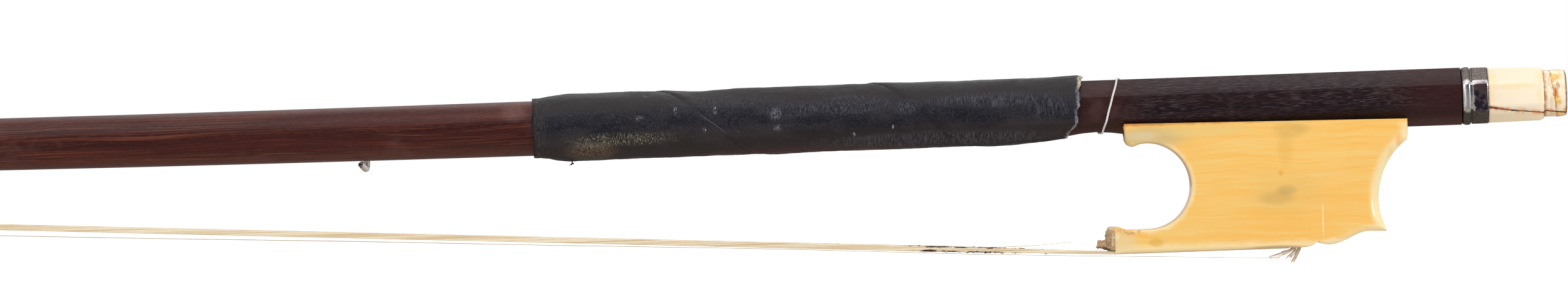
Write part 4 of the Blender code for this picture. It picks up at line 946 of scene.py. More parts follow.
def hair_finish(name, dirty=True):
    finish, w, place = new_finish(name, 0.42, 0.5, stretches=True)
    mask = 0
    if dirty:
        x, z = w.parts(place, "XZ")
        reach = w.span(x, -110, -94) * w.fade(x, -88, -79)
        flecks = w.streaks(place, (0.5, 1.4, 2.6), 6, 0.8)
        middle = (x - MOUTH_X) * -HAIR_SLOPE + HAIR_HELD_Z
        from_middle = abs(z - middle)
        level = flecks + reach * w.span(from_middle, 0.08, 0.34, 0.12, 0.25)
        mask = w.span(level, 0.68, 0.76) * w.span(x, -124, -108)
    pale = rgb(240, 229, 206) if dirty else rgb(240, 226, 206)
    tan = rgb(216, 190, 148) if dirty else rgb(212, 188, 160)
    strand = w.group("Strands", Place=place, Pale=pale, Tan=tan, Dirt_Mask=mask)
    w.put("Base Color", strand["Colour"])
    w.bump(strand["Height"], 0.012)
    return finish


def crumb_finish():
    finish, w, place = new_finish("dark_crumbs", 0.6, 0.4)
    w.put("Base Color", w.mix(w.noise(place, 4, 4), rgb(54, 30, 22), rgb(138, 92, 60)))
    w.bump(w.noise(place, 6, 4), 0.05)
    return finish


def thread_finish():
    finish, w, place = new_finish("white_thread", 0.8, 0.2)
    fibres = w.group("Fibres", Place=place)
    w.put("Base Color", fibres["Colour"])
    w.bump(fibres["Height"], 0.02)
    return finish


def pale_wood_finish():
    finish, w, place = new_finish("pale_plug_wood", 0.7, 0.25)
    grain = w.group("Long Grain", Place=w.stretch(place, (1, 1, 1), turn=(0, 1.1, 0.2)),
                    Dark=rgb(186, 148, 112), Middle=rgb(228, 198, 158), Light=rgb(240, 218, 182),
                    Threads=0.8, Pores=0.5, Pore_Colour=rgb(104, 72, 50))
    dirt = w.blotches(place, 1.4, 0.5, 0.66, 5)
    w.colour = w.mix(dirt * 0.26, grain["Colour"], rgb(112, 80, 58))
    w.put("Base Color", w.colour)
    w.bump(grain["Height"] + w.noise(place, 4, 5, 0.7), 0.12)
    return finish


def lining_finish():
    finish, w, place = new_finish("dark_lining", 0.35, 0.35)
    grain = w.group("Long Grain", Place=place, Dark=rgb(22, 19, 18), Middle=rgb(34, 29, 27),
                    Light=rgb(58, 48, 42), Threads=0.4, Pores=0.2, Pore_Colour=rgb(60, 54, 50))
    w.put("Base Color", grain["Colour"])
    w.bump(grain["Height"], 0.02)
    return finish


FINISHES = {}


def make_finishes():
    """Every finish of the bow, once."""
    make_groups()
    FINISHES["wood"] = wood_finish()
    FINISHES["leather"] = leather_finish()
    FINISHES["frog"] = frog_finish()
    FINISHES["ivory"] = pale_ivory_finish()
    FINISHES["ring"] = ring_finish()
    FINISHES["wire"] = wire_finish()
    FINISHES["steel"] = plain_metal_finish("screw_steel", rgb(176, 174, 170), rgb(110, 104, 98), 0.2)
    FINISHES["brass"] = plain_metal_finish("eyelet_brass", rgb(214, 178, 108), rgb(140, 108, 62), 0.3)
    FINISHES["hair"] = hair_finish("bow_hair")
    FINISHES["loose_hair"] = hair_finish("loose_hair", False)
    FINISHES["crumbs"] = crumb_finish()
    FINISHES["thread"] = thread_finish()
    FINISHES["pale_wood"] = pale_wood_finish()
    FINISHES["lining"] = lining_finish()


# Sizes and colours that a user may change

def colour_setting(label, about, red, green, blue):
    return FloatVectorProperty(name=label, description=about, subtype="COLOR", size=3, min=0, max=1,
                               default=rgb(red, green, blue)[:3])


def length_setting(label, about, value):
    return FloatProperty(name=label, description=about, default=value, min=0.0, max=20.0, precision=2)


class WoodSettings(bpy.types.PropertyGroup):
    """The stick's wood."""
    body: colour_setting("Wood", "Colour of most of the wood", 70, 27, 23)
    shade: colour_setting("Dark streaks", "Colour of the broad dark streaks", 45, 17, 17)
    thread: colour_setting("Light threads", "Colour of the fine light threads in the grain", 122, 66, 44)
    arris: length_setting("Arris", "How far the eight long edges of the handle are rounded, in mm", 0.9)


class GripSettings(bpy.types.PropertyGroup):
    """The leather grip."""
    leather: colour_setting("Leather", "Colour of the black leather", 13, 13, 20)
    # This brown colours the grip towards its underside, below the black middle band.
    brown: colour_setting("Brown leather", "Colour of the leather where it has faded to brown", 40, 32, 32)
    bare: colour_setting("Worn patch", "Colour where the leather is worn through to brown", 84, 64, 48)
    front_thickness: length_setting("Front thickness",
                                    "Leather and what is under it near its front edge, in mm", 0.9)
    rear_thickness: length_setting("Rear thickness", "Leather near the frog, in mm", 0.66)
    seam_pitch: length_setting("Seam pitch",
                               "How far the spiral seam moves along the stick in half a turn, in mm", 16.0)
    rows: IntProperty(name="Rows", description="Rows of points along the leather", default=400, min=60,
                      max=600)
    turns: IntProperty(name="Columns", description="Points round the leather", default=150, min=32, max=240)


class FrogSettings(bpy.types.PropertyGroup):
    """The ivory frog."""
    heart: colour_setting("Heart", "Colour of the ivory's amber middle", 243, 185, 90)
    # The rim colour also gives the painted highlight on the frog's rounded edges.
    rim: colour_setting("Rim", "Colour of the worn, pale rims", 243, 224, 176)
    heel_edge: length_setting("Heel edge", "Width of the rounded edge round the hollow heel, in mm", 1.3)


class HairSettings(bpy.types.PropertyGroup):
    """The ribbon of hair."""
    count: IntProperty(name="Hairs", description="Separate hairs in the ribbon", default=170, min=20,
                       max=400)
    diameter: FloatProperty(name="Hair diameter", description="Thickness of one hair, in mm", default=0.2,
                            min=0.05)


class StageSettings(bpy.types.PropertyGroup):
    """The lamps, the floor and the camera."""
    key_power: FloatProperty(name="Key lamp",
                             description="Power of the large lamp, which the rear lamp follows",
                             default=14.4, unit="POWER")
    side_power: FloatProperty(name="Side lamps",
                              description="Power of the right lamp, which the left one follows",
                              default=12, unit="POWER")
    ambient: FloatProperty(name="Ambient", description="Strength of the light from all round", default=0.54,
                           min=0.0)
    distance: FloatProperty(name="Camera distance", description="From the camera to the bow", default=1.65,
                            unit="LENGTH")


# The stick and what lies on it

class BOW_OT_stick(bpy.types.Operator):
    """The stick with its head: softened arrises and streaked dark wood"""
    bl_idname = "bow.stick"
    bl_label = "Stick"

    def execute(self, context):
        stick = copy_of("stick", "bow_stick")

        def arris(edge):
            points = [vert.co for vert in edge.verts]
            on_outside = all(Vector((0, point.y, point.z)).length > 4.2 * MM for point in points)
            return on_outside and runs_along(edge, 0.98) and max(point.x for point in points) > -0.15

        soften(stick, context.scene.bow_wood.arris, arris, 20)
        self.round_head(stick)
        dress(stick, 28, "wood", "dark_wood", "stick", ["stick"])
        STICK["surface"] = Surface(stick)
        return {"FINISHED"}

    def round_head(self, stick):
        """Splits the long edges of the head's curved sides, so that its outline is round."""
        def at_corner(vert):
            return any(edge.calc_face_angle(0) > 0.8 for edge in vert.link_edges)

        def curved(edge):
            first, last = (vert.co for vert in edge.verts)
            run = last - first
            on_head = max(first.x, last.x) < -0.66
            lengthways = run.length > 1.2 * MM and abs(run.y) < 0.5 * run.length
            return on_head and lengthways and not any(at_corner(vert) for vert in edge.verts)

        open_mesh(stick, "EDGE")
        pick(stick, "EDGE", curved)
        bpy.ops.mesh.subdivide(number_cuts=2, smoothness=1)
        close_mesh()


class BOW_OT_grip(bpy.types.Operator):
    """The leather grip: a sheet rolled round the stick, with a spiral seam, lumps and a ragged rear"""
    bl_idname = "bow.grip"
    bl_label = "Leather grip"

    FRONT_X = -155.7
    REAR_X = -72.9
    SHEET = 0.22
    LEAST = 0.24
    DIP_X = -84
    HOLLOW_X = -131
    SEAM_X = -132.9
    SEAM_ANGLE = math.radians(224)
    NEAR_FLAT = math.radians(270)
    PIT_DEPTH = 0.2
    PIT_RADIUS = 0.32
    # Pits and the points of a loose scrap, each along the bow and up, in millimetres
    PITS = ((-138.5, 4.4), (-124.4, -1.6), (-126.6, -4.4), (-121.1, -4.3), (-134, -2.2), (-109.5, -3.9),
            (-95.2, -2.6), (-88, -1.4), (-147, -4.6), (-116, 1.4))
    CRUMB = ((-150.1, -4.9), (-150, -5.25), (-150.1, -5.6), (-150.45, -5.7), (-150.05, -5.5),
             (-149.75, -5.45))

    def execute(self, context):
        grip = context.scene.bow_grip
        grid = bpy.ops.mesh.primitive_grid_add
        leather = added("grip_leather", grid, x_subdivisions=grip.rows, y_subdivisions=grip.turns, size=1)
        for vert in leather.data.vertices:
            vert.co = self.rolled(grip, vert.co.x + 0.5, vert.co.y + 0.5)
        face_out(leather)
        middle = leather.data.polygons[len(leather.data.polygons) // 2]
        if middle.normal.dot(Vector((0, middle.center.y, middle.center.z))) < 0:
            leather.data.flip_normals()
        apply_modifier(leather, "SOLIDIFY", thickness=self.SHEET * MM, offset=-1)
        crumb = strands("loose_scrap", [[(Vector((x, -1.2, z)) * MM, 1) for x, z in self.CRUMB]], 0.2)
        join(leather, crumb)
        dress(leather, 60, "leather", "black_leather", "stick", ["leather_grip"])
        return {"FINISHED"}

    def rolled(self, grip, share, turn):
        """Where a point of the flat sheet lies, by its shares of the length and of the way round."""
        angle = math.tau * turn
        ring = Vector((math.sin(angle), math.cos(angle)))
        ragged = noise.noise(Vector((ring.x * 3, ring.y * 3, 4))) * 0.3
        ragged += noise.noise(Vector((ring.x * 9, ring.y * 9, 1))) * 0.14
        ragged += noise.noise(Vector((ring.x * 24, ring.y * 24, 7))) * 0.12
        rear = self.REAR_X - 0.35 * (1 + ring.y) + 0.35 * min(0, ring.x) + ragged
        rear -= 1.8 * smooth_step((ring.y - 0.4) / 0.6)
        front = self.FRONT_X + 0.3 * noise.noise(Vector((ring.x * 2, ring.y * 2, 9)))
        x = front + (rear - front) * share
        lift = self.thickness(grip, x, angle, front, rear)
        surface = STICK["surface"]
        wood = surface.reach(x * MM, angle) / MM
        flat = surface.reach(x * MM, self.NEAR_FLAT) / MM
        over_dip = smooth_step((x - self.DIP_X) / 5) * smooth_step(math.cos(angle) * 2)
        rounding = 0.65 * (1 - over_dip)
        reach = (1 - rounding) * (wood + lift) + rounding * (flat + lift + 0.1)
        return surface.at(x * MM, angle, max(wood + self.LEAST, reach) * MM)

    def thickness(self, grip, x, angle, front, rear):
        """How far the leather's face stands off the wood, in millimetres."""
        share = (x - front) / (rear - front)
        body = grip.front_thickness + (grip.rear_thickness - grip.front_thickness) * min(1, share * 1.3)
        under = smooth_step((math.cos(angle) - 0.2) / 0.6)
        rear_skive = smooth_step((rear - x) / (1.5 + 9 * under) + 0.35 * (1 - under))
        front_skive = smooth_step((x - front) / 6)
        body = 0.3 + (body - 0.3) * min(front_skive, rear_skive)
        near = Vector((x, 5 * math.sin(angle), -5 * math.cos(angle)))
        lumps = 0.1 * noise.noise(near * 0.16)
        lumps += 0.045 * noise.noise(near * 0.55)
        lumps += 0.02 * noise.noise(near * 1.6)
        folds = 0.06 * noise.noise(Vector((x * 0.3, near.y * 1.3, near.z * 1.3)))
        folds *= smooth_step((front + 9 - x) / 7) + 0.8 * smooth_step((x - rear + 8) / 7)
        fine = noise.noise(Vector((x * 2.2, near.y * 0.4, near.z * 0.4)))
        folds += 0.05 * fine * smooth_step((front + 4 - x) / 3)
        body += (lumps + folds) * min(1, body / 0.5)
        phase = (x - self.SEAM_X) / (2 * grip.seam_pitch) - (angle - self.SEAM_ANGLE) / math.tau
        off = (phase - round(phase)) * 2 * grip.seam_pitch
        body += 0.12 * smooth_step(1 - off / 7) * (1 if off > 0 else 0)
        body -= 0.13 * math.exp(-(off / 0.45) ** 2)
        body -= 0.28 * math.exp(-((x - self.HOLLOW_X) / 4.5) ** 2) * smooth_step(-math.cos(angle))
        for pit_x, pit_z in self.PITS:
            away = (Vector((x, near.z)) - Vector((pit_x, pit_z))).length
            if away < 1.2 and near.y < 0:
                body -= self.PIT_DEPTH * math.exp(-(away / self.PIT_RADIUS) ** 2)
        return max(self.LEAST, body)


class BOW_OT_thread(bpy.types.Operator):
    """The white thread: three plies twisted together and wound over the wood"""
    bl_idname = "bow.thread"
    bl_label = "Binding thread"

    FROM_NOSE = 0.96
    PITCH = 5.3
    TURNS = 1.06
    START = 112.5
    PLIES = 3
    PLY_DIAMETER = 0.21
    PLY_OFF_MIDDLE = 0.055
    LIFT = 0.15
    TWIST_LENGTH = 1.6
    STEPS_A_TURN = 180
    ROUND_STICK = 4.7

    def execute(self, context):
        plies = [[] for _ in range(self.PLIES)]
        steps = round(self.TURNS * self.STEPS_A_TURN)
        length = self.TURNS * math.tau * self.ROUND_STICK
        for k in range(steps + 1):
            angle = math.radians(self.START) + math.tau * self.TURNS * k / steps
            x = self.middle_x(angle)
            twist = math.tau * length * k / steps / self.TWIST_LENGTH
            for ply in range(self.PLIES):
                turn = twist + math.tau * ply / self.PLIES
                lift = self.LIFT + self.PLY_OFF_MIDDLE * math.cos(turn)
                spot_x = x + self.PLY_OFF_MIDDLE * math.sin(turn)
                plies[ply].append((STICK["surface"].place(spot_x * MM, angle, lift * MM), 1))
        thread = strands("twisted_thread", plies, self.PLY_DIAMETER, sides=2)
        dress(thread, 70, "thread", "white_thread", "stick", ["binding_thread"])
        return {"FINISHED"}

    def middle_x(self, angle):
        """Where the thread lies along the stick: straight across the near side, winding on behind it."""
        turn = angle / math.tau
        middle = NOSE_X - self.FROM_NOSE - self.PITCH * 0.25
        if 0.5 <= turn <= 1:
            return middle - self.PITCH * 0.25 * math.cos(angle)
        return middle - self.PITCH * (turn - 0.75)


class BOW_OT_pin(bpy.types.Operator):
    """The stout silver wire end under the stick, bent back on itself and cut off"""
    bl_idname = "bow.pin"
    bl_label = "Wire pin"

    AHEAD_OF_NOSE = 114.4
    DIAMETER = 1
    # The wire's middle line: along the bow, across it and up from the wood, in millimetres
    BEND = ((0.04, 0.35, 1.1), (0.04, 0.35, 0.2), (0.04, 0.32, -0.45), (0, 0.1, -1.05),
            (-0.13, -0.25, -1.36), (-0.42, -0.68, -1), (-0.8, -1.2, -0.44))

    def execute(self, context):
        x = NOSE_X - self.AHEAD_OF_NOSE
        root = STICK["surface"].hit(Vector((x * MM, 0.0006, -0.03)), Vector((0, 0, 1)))
        path = [(Vector((x + ahead, across, root.z / MM + up)) * MM, 1) for ahead, across, up in self.BEND]
        pin = strands("bent_wire", [path], self.DIAMETER, sides=6, steps=6)
        soften(pin, 0.06, None, 50, 2)
        dress(pin, 40, "wire", "silver", "stick", ["wire_pin"])
        return {"FINISHED"}


# The frog and what it holds

class BOW_OT_frog(bpy.types.Operator):
    """The open ivory frog: nose, throat, tongue, ogee and hollow heel, its edges rounded one by one"""
    bl_idname = "bow.frog"
    bl_label = "Frog"

    SADDLE_WIDTH = 8.84
    CHANNEL_DEPTH = 0.7
    MORTISE_DEPTH = 7.1
    EYELET_HOLE = 1.6
    EYELET_PLACE = (-46.1, 0, -6.55)
    SKEWED_LENGTH = 5.4
    RIM_STEPS = 9

    def execute(self, context):
        frog = grown("ivory_frog", self.rings(context.scene.bow_frog.heel_edge))
        self.skew_mouth(frog)
        self.hollow(frog)
        dress(frog, 32, "frog", "frog_ivory", "frog", ["frog"])
        return {"FINISHED"}

    def outline(self, widest):
        """The side view as (x, z, width of the rounded rim) points, starting at the top of the nose."""
        rows = []

        def run(points, *widths):
            for k, (x, z) in enumerate(points):
                share = k / max(1, len(points) - 1)
                rows.append((x, z, widths[0] + (widths[-1] - widths[0]) * smooth_step(share)))

        run([(NOSE_X - 0.3, -2.4), (NOSE_X - 0.42, -2.9)], 0.1, 0.35)
        run(arc((NOSE_X + 1.1, -4.6), 1.32, 172, 262, 6), 0.5)
        run(arc(THROAT_CENTRE, THROAT_RADIUS, 101, 60, 12), 0.45, 0.4)
        run(arc(THROAT_CENTRE, THROAT_RADIUS, 57, -88, 40), 0.4)
        floor = THROAT_CENTRE[1] - THROAT_RADIUS
        run([(NOSE_X + 0.6, floor - 0.02), (MOUTH_X + 1.9, floor + 0.05)], 0.4, 0.4)
        run([(MOUTH_X + 1.1, floor + 0.3), (MOUTH_X + 0.6, floor + 0.55)], 0.3, 0.2)
        run([(MOUTH_X + 0.25, floor + 0.48), (MOUTH_X + 0.05, floor + 0.2), (MOUTH_X, FROG_BOTTOM)], 0.16)
        run([(MOUTH_X + 1.4, FROG_BOTTOM), (MOUTH_X + 3, FROG_BOTTOM)], 0.45, 0.6)
        run([(-43, FROG_BOTTOM), (-40.9, FROG_BOTTOM), (-40, FROG_BOTTOM + 0.05)], 0.6, 0.3)
        run([(-39.3, FROG_BOTTOM + 0.22), (-38.75, FROG_BOTTOM + 0.5), (-38.35, FROG_BOTTOM + 0.85)], 0.25,
            0.12)
        run([(-37.9, FROG_BOTTOM + 0.56), (-37.5, FROG_BOTTOM + 0.42), (-37, FROG_BOTTOM + 0.33)], 0.2, 0.7)
        rise = [0.3 + 0.93 * (1 - math.cos(math.pi * k / 12)) for k in range(12)]
        run([(-36.5 + 0.5083 * k, FROG_BOTTOM + up) for k, up in enumerate(rise)], 0.9)
        waist = self.waist()
        run(waist[:1], 0.8)
        run(waist[3:14], widest)
        run(waist[14:], widest, 0.7)
        run([(FROG_REAR_X, -5.4), (FROG_REAR_X, -3.05)], 0.6, 0.3)
        return rows

    def rings(self, widest):
        """Copies of the outline from side to side, drawn in towards each face by a quarter round."""
        rows = self.outline(widest)
        inwards = []
        for before, here, after in zip(rows[-1:] + rows[:-1], rows, rows[1:] + rows[:1]):
            first = Vector((here[0] - before[0], here[1] - before[1])).normalized()
            last = Vector((after[0] - here[0], after[1] - here[1])).normalized()
            along = (first + last).normalized()
            mitre = 1 / max(0.5, along.dot(first))
            inwards.append(Vector((-along.y, along.x)) * mitre)
        rings = []
        for side in (-1, 1):
            for k in range(self.RIM_STEPS + 1)[::side]:
                turn = math.radians(90 * k / self.RIM_STEPS)
                ring = []
                for (x, z, width), inward in zip(rows, inwards):
                    flatness = 1 + 0.6 * smooth_step((width - 0.95) / 0.25)
                    drawn = inward * width * (1 - math.cos(turn) ** flatness)
                    deep = FROG_HALF_WIDTH - width * (1 - math.sin(turn) ** flatness)
                    ring.append(Vector((x + drawn.x, side * deep, z + drawn.y)) * MM)
                rings.append(ring)
        return rings

    def waist(self):
        """The hollow of the heel, from its lower corner to the foot of the rear face."""
        low, high = Vector(HEEL), Vector((FROG_REAR_X - 0.2, -6.2))
        half = (high - low) / 2
        inwards = Vector((half.y, -half.x)).normalized()
        centre = low + half + inwards * math.sqrt(WAIST_RADIUS**2 - half.length**2)
        start = math.degrees(math.atan2(low.y - centre.y, low.x - centre.x)) % 360
        end = math.degrees(math.atan2(high.y - centre.y, high.x - centre.x)) % 360
        return arc(centre, WAIST_RADIUS, start, end, 18)

    def skew_mouth(self, frog):
        """The tongue's mouth is cut askew: its near wall stops short of its far wall."""
        for vert in frog.data.vertices:
            point = vert.co / MM
            if point.z < THROAT_CENTRE[1] and point.x < MOUTH_X + self.SKEWED_LENGTH:
                share = 1 - (point.x - MOUTH_X) / self.SKEWED_LENGTH
                vert.co.x -= MOUTH_SKEW / 2 * share * point.y / FROG_HALF_WIDTH * MM

    def hollow(self, frog):
        """Cuts the saddle, the hair's channel and mortise, the wedge's pocket and the eyelet's hole."""
        channel_top = FROG_BOTTOM + self.CHANNEL_DEPTH
        mortise_top = FROG_BOTTOM + self.MORTISE_DEPTH
        front, rear = MORTISE_FRONT_X, MORTISE_REAR_X
        carve(frog, octagon_lathe("saddle", ((-14, self.SADDLE_WIDTH), (-80, self.SADDLE_WIDTH))))
        carve(frog, block("channel", (-76, -HAIR_SPACE, -24), (rear - 1, HAIR_SPACE, channel_top)))
        carve(frog, block("mortise", (front, -HAIR_SPACE, -24), (rear, HAIR_SPACE, mortise_top)))
        carve(frog, wedge_block("pocket", MOUTH_X - 4, MOUTH_X + 7.2, 0.03))
        hole = {"radius": self.EYELET_HOLE * MM, "depth": 7 * MM, "location": Vector(self.EYELET_PLACE)
                * MM}
        carve(frog, added("eyelet_hole", bpy.ops.mesh.primitive_cylinder_add, vertices=32, **hole))


def wedge_block(name, front_x, rear_x, shrink):
    """A block with an arched top that falls towards its rear, as the wedge and its pocket are."""
    half = HAIR_SPACE - shrink
    low = FROG_BOTTOM + 0.45 + shrink

    def top(x):
        return FROG_BOTTOM + 3.5 - shrink - 0.29 * (x - MOUTH_X)

    thing = block(name, (front_x, -half, low), (rear_x, half, top(rear_x)))
    open_mesh(thing, "EDGE")

    def front_top(edge):
        return all(v.co.z > (low + 0.5) * MM and v.co.x < (front_x + 0.1) * MM for v in edge.verts)

    pick(thing, "EDGE", front_top)
    bpy.ops.transform.translate(value=(0, 0, (top(front_x) - top(rear_x)) * MM))
    bpy.ops.mesh.select_all(action="DESELECT")
    middle = (front_x + rear_x) / 2

    def long_top(edge):
        first, last = (v.co / MM for v in edge.verts)
        return (first.x - middle) * (last.x - middle) < 0 and min(first.z, last.z) > low + 0.3

    pick(thing, "EDGE", long_top)
    bpy.ops.mesh.bevel(offset=0.7 * MM, segments=6, affect="EDGES")
    close_mesh()
    return thing


class BOW_OT_wedge(bpy.types.Operator):
    """The wooden wedge in the tongue's mouth, its end broken off rough, with a splinter left standing"""
    bl_idname = "bow.wedge"
    bl_label = "Spread wedge"

    def execute(self, context):
        wedge = wedge_block("spread_wedge", MOUTH_X - 0.35, MOUTH_X + 6.9, 0.08)
        low, high = (MOUTH_X - 1.9, -1.6, FROG_BOTTOM + 0.6), (MOUTH_X + 0.6, 2.4, FROG_BOTTOM + 1.7)
        splinter = block("splinter", low, high)
        self.turn(splinter)
        carve(wedge, splinter, "UNION")
        apply_modifier(wedge, "REMESH", mode="VOXEL", voxel_size=0.13 * MM)
        for vert in wedge.data.vertices:
            point = vert.co / MM
            if point.x < MOUTH_X + 1:
                point.x -= MOUTH_SKEW / 2 * point.y / FROG_HALF_WIDTH
                torn = noise.noise(Vector((point.x, point.y * 3, point.z * 3)))
                rough = noise.noise(point * 1.3) * 0.3 + torn * 0.22
                point.x += rough * smooth_step((MOUTH_X + 0.6 - point.x) / 0.9)
                if point.x < MOUTH_X - 0.7:
                    point.z += noise.noise(point * 1.9 + Vector((5, 0, 0))) * 0.35
                vert.co = point * MM
        dress(wedge, 50, "pale_wood", "pale_wood", "frog", ["frog_spread_wedge"])
        return {"FINISHED"}

    def turn(self, splinter):
        """Tips the splinter about its root."""
        root = Vector((MOUTH_X * MM, 0, (FROG_BOTTOM + 1.1) * MM))
        tip = Matrix.Rotation(math.radians(14), 4, "Y")
        splinter.data.transform(Matrix.Translation(root) @ tip @ Matrix.Translation(-root))


class BOW_OT_plugs(bpy.types.Operator):
    """The wooden plugs that lock the hair in the frog and in the head"""
    bl_idname = "bow.plugs"
    bl_label = "Hair plugs"

    def execute(self, context):
        for node, body in (("frog_hair_plug", "frog"), ("head_hair_plug", "stick")):
            plug = copy_of(node, node.replace("hair_plug", "wood_plug"), flatten=True)
            soften(plug, 0.15)
            dress(plug, 30, "pale_wood", "pale_wood", body, [node])
        return {"FINISHED"}


class BOW_OT_eyelet(bpy.types.Operator):
    """The brass eyelet that is screwed into the frog and rides on the screw"""
    bl_idname = "bow.eyelet"
    bl_label = "Eyelet"

    def execute(self, context):
        eyelet = copy_of("frog_eyelet", "brass_eyelet", flatten=True)
        dress(eyelet, 30, "brass", "brass", "frog", ["frog_eyelet"])
        return {"FINISHED"}


# The button and the screw

class BOW_OT_ring(bpy.types.Operator):
    """The octagonal silver ring: bead, groove and band"""
    bl_idname = "bow.ring"
    bl_label = "Button ring"

    STATIONS = ((-12, 8.3), (-12.12, 8.45), (-14.2, 8.45), (-14.3, 8.35), (-14.34, 8.05), (-14.6, 8.05),
                (-14.66, 8.36), (-14.74, 8.54), (-14.86, 8.66), (-15, 8.72), (-15.12, 8.72), (-15.26, 8.67),
                (-15.4, 8.58), (-15.54, 8.46), (-15.68, 8.32), (-15.8, 8.16), (-15.86, 8))

    def execute(self, context):
        ring = octagon_lathe("silver_ring", self.STATIONS)
        soften(ring, 0.12, lambda edge: runs_along(edge, 0.9), 30)
        carve(ring, lathe("ring_bore", ((-10, 3.42), (-18, 3.42)), 48))
        dress(ring, 25, "ring", "silver", "button", ["button_ring"])
        return {"FINISHED"}


class BOW_OT_button(bpy.types.Operator):
    """The ivory button: an octagonal body and a stained, stepped nipple"""
    bl_idname = "bow.button"
    bl_label = "Button"

    NIPPLE = ((-4.6, 3.4), (-3.5, 3.4), (-3.42, 3.5), (-3.2, 3.56), (-2.75, 3.56), (-2.62, 3.48),
              (-2.5, 3.48), (-2.35, 3.58), (-1.6, 3.6), (-0.8, 3.56), (-0.4, 3.5), (-0.16, 3.36),
              (-0.05, 3.1), (-0.01, 2.2))

    def execute(self, context):
        body = octagon_lathe("ivory_button", ((-11.94, 8.2), (-11.88, 8.28), (-4.6, 8.06), (-4.2, 8),
                                              (-3.85, 7.84), (-3.62, 7.5), (-3.52, 6.9)))
        soften(body, 0.3, lambda edge: runs_along(edge, 0.8), 30)
        stations = []
        for (x, radius), (next_x, next_radius) in zip(self.NIPPLE, self.NIPPLE[1:]):
            steps = max(1, round((next_x - x) / 0.2))
            for k in range(steps):
                stations.append((x + (next_x - x) * k / steps, radius + (next_radius - radius) * k / steps))
        stations.append(self.NIPPLE[-1])
        nipple = lathe("nipple", stations, 96)
        for vert in nipple.data.vertices:
            point = vert.co / MM
            lump = noise.noise(point * 0.9) * 0.1 + noise.noise(point * 2.4) * 0.06 - 0.05
            if point.x > -3.4:
                vert.co.y += lump * point.y / 3.5 * MM
                vert.co.z += lump * point.z / 3.5 * MM
        carve(body, nipple, "UNION")
        carve(body, lathe("spigot", ((-14, 3.31), (-11, 3.31)), 48), "UNION")
        carve(body, lathe("tang_hole", ((-15, 1.25), (-7.9, 1.25)), 32))
        dress(body, 35, "ivory", "pale_ivory", "button", ["button"])
        return {"FINISHED"}


class BOW_OT_screw(bpy.types.Operator):
    """The steel screw with its cut thread"""
    bl_idname = "bow.screw"
    bl_label = "Screw"

    PITCH = 0.75
    STEPS_A_TURN = 20
    CORE = 1.2
    RIDGE = 1.24

    def execute(self, context):
        low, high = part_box("screw")
        front, rear = low.x / MM, high.x / MM
        thread_front, thread_rear = front + 5, -22
        shank = lathe("steel_screw", ((rear, 0.85), (rear - 0.4, 1.15), (-14.1, 1.15), (-14.15, 1.5),
                                      (thread_rear, 1.5), (thread_rear - 0.3, self.CORE),
                                      (thread_front, self.CORE), (thread_front - 0.2, 1.1),
                                      (front + 0.5, 1.1), (front, 0.6)), 32)
        steps = round((thread_rear - thread_front) / self.PITCH * self.STEPS_A_TURN)
        path = []
        for k in range(steps + 1):
            turn = math.tau * k / self.STEPS_A_TURN
            x = thread_front + 0.2 + (thread_rear - thread_front - 0.5) * k / steps
            path.append((Vector((x, self.RIDGE * math.cos(turn), self.RIDGE * math.sin(turn))) * MM, 1))
        ridge = strands("thread_ridge", [path], 0.5)
        join(shank, ridge)
        dress(shank, 40, "steel", "steel", "button", ["screw"])
        return {"FINISHED"}


# The head

class BOW_OT_head_face(bpy.types.Operator):
    """The ivory face plate under the head and its dark lining, glued up without a gap"""
    bl_idname = "bow.head_face"
    bl_label = "Head face"

    def execute(self, context):
        plate = copy_of("head_face_plate", "ivory_face_plate")
        soften(plate, 0.12, lambda e: not any(face.normal.z > 0.5 for face in e.link_faces), 50, 2)
        dress(plate, 35, "ivory", "pale_ivory", "stick", ["head_face_plate"])
        lining = copy_of("head_face_lining", "dark_face_lining")
        for way in (1, -1):
            open_mesh(lining, "FACE")
            pick(lining, "FACE", lambda face: face.normal.z * way > 0.5)
            bpy.ops.transform.translate(value=(0, 0, way * 0.105 * MM))
            close_mesh()
        dress(lining, 35, "lining", "dark_lining", "stick", ["head_face_lining"])
        return {"FINISHED"}


# The hair

# Where the ribbon leaves the head's mortise: ahead of its first station and above it, in millimetres
HAIR_BEND = ((-0.42, 3), (-0.42, 0.6), (-0.36, 0.26), (-0.2, 0.06))
HEAD_HALF_WIDTH = 2.78
HEAD_HALF_DEPTH = 0.12
FROG_HAIR_HALF_WIDTH = 3.22
HAIR_STATIONS = 24
HAIR_UP = Vector((HAIR_SLOPE, 0, 1)).normalized()


def hair_middle(share):
    """A point of the ribbon's middle line, from the head's plate, share 0, to the frog's mouth, share 1."""
    start = Vector((PLATE_BACK[0] - 12, 0, PLATE_BACK[1] + 12 * HAIR_SLOPE - 0.35))
    return start.lerp(Vector((MOUTH_X - 0.3, 0, HAIR_HELD_Z)), share)


def hair_station(share):
    """The ribbon's middle, half its width and half its thickness, in millimetres."""
    full = smooth_step(share * 18) * smooth_step((1 - share) * 34)
    return hair_middle(share), 2.8 + 0.4 * share, 0.13 + 0.2 * full


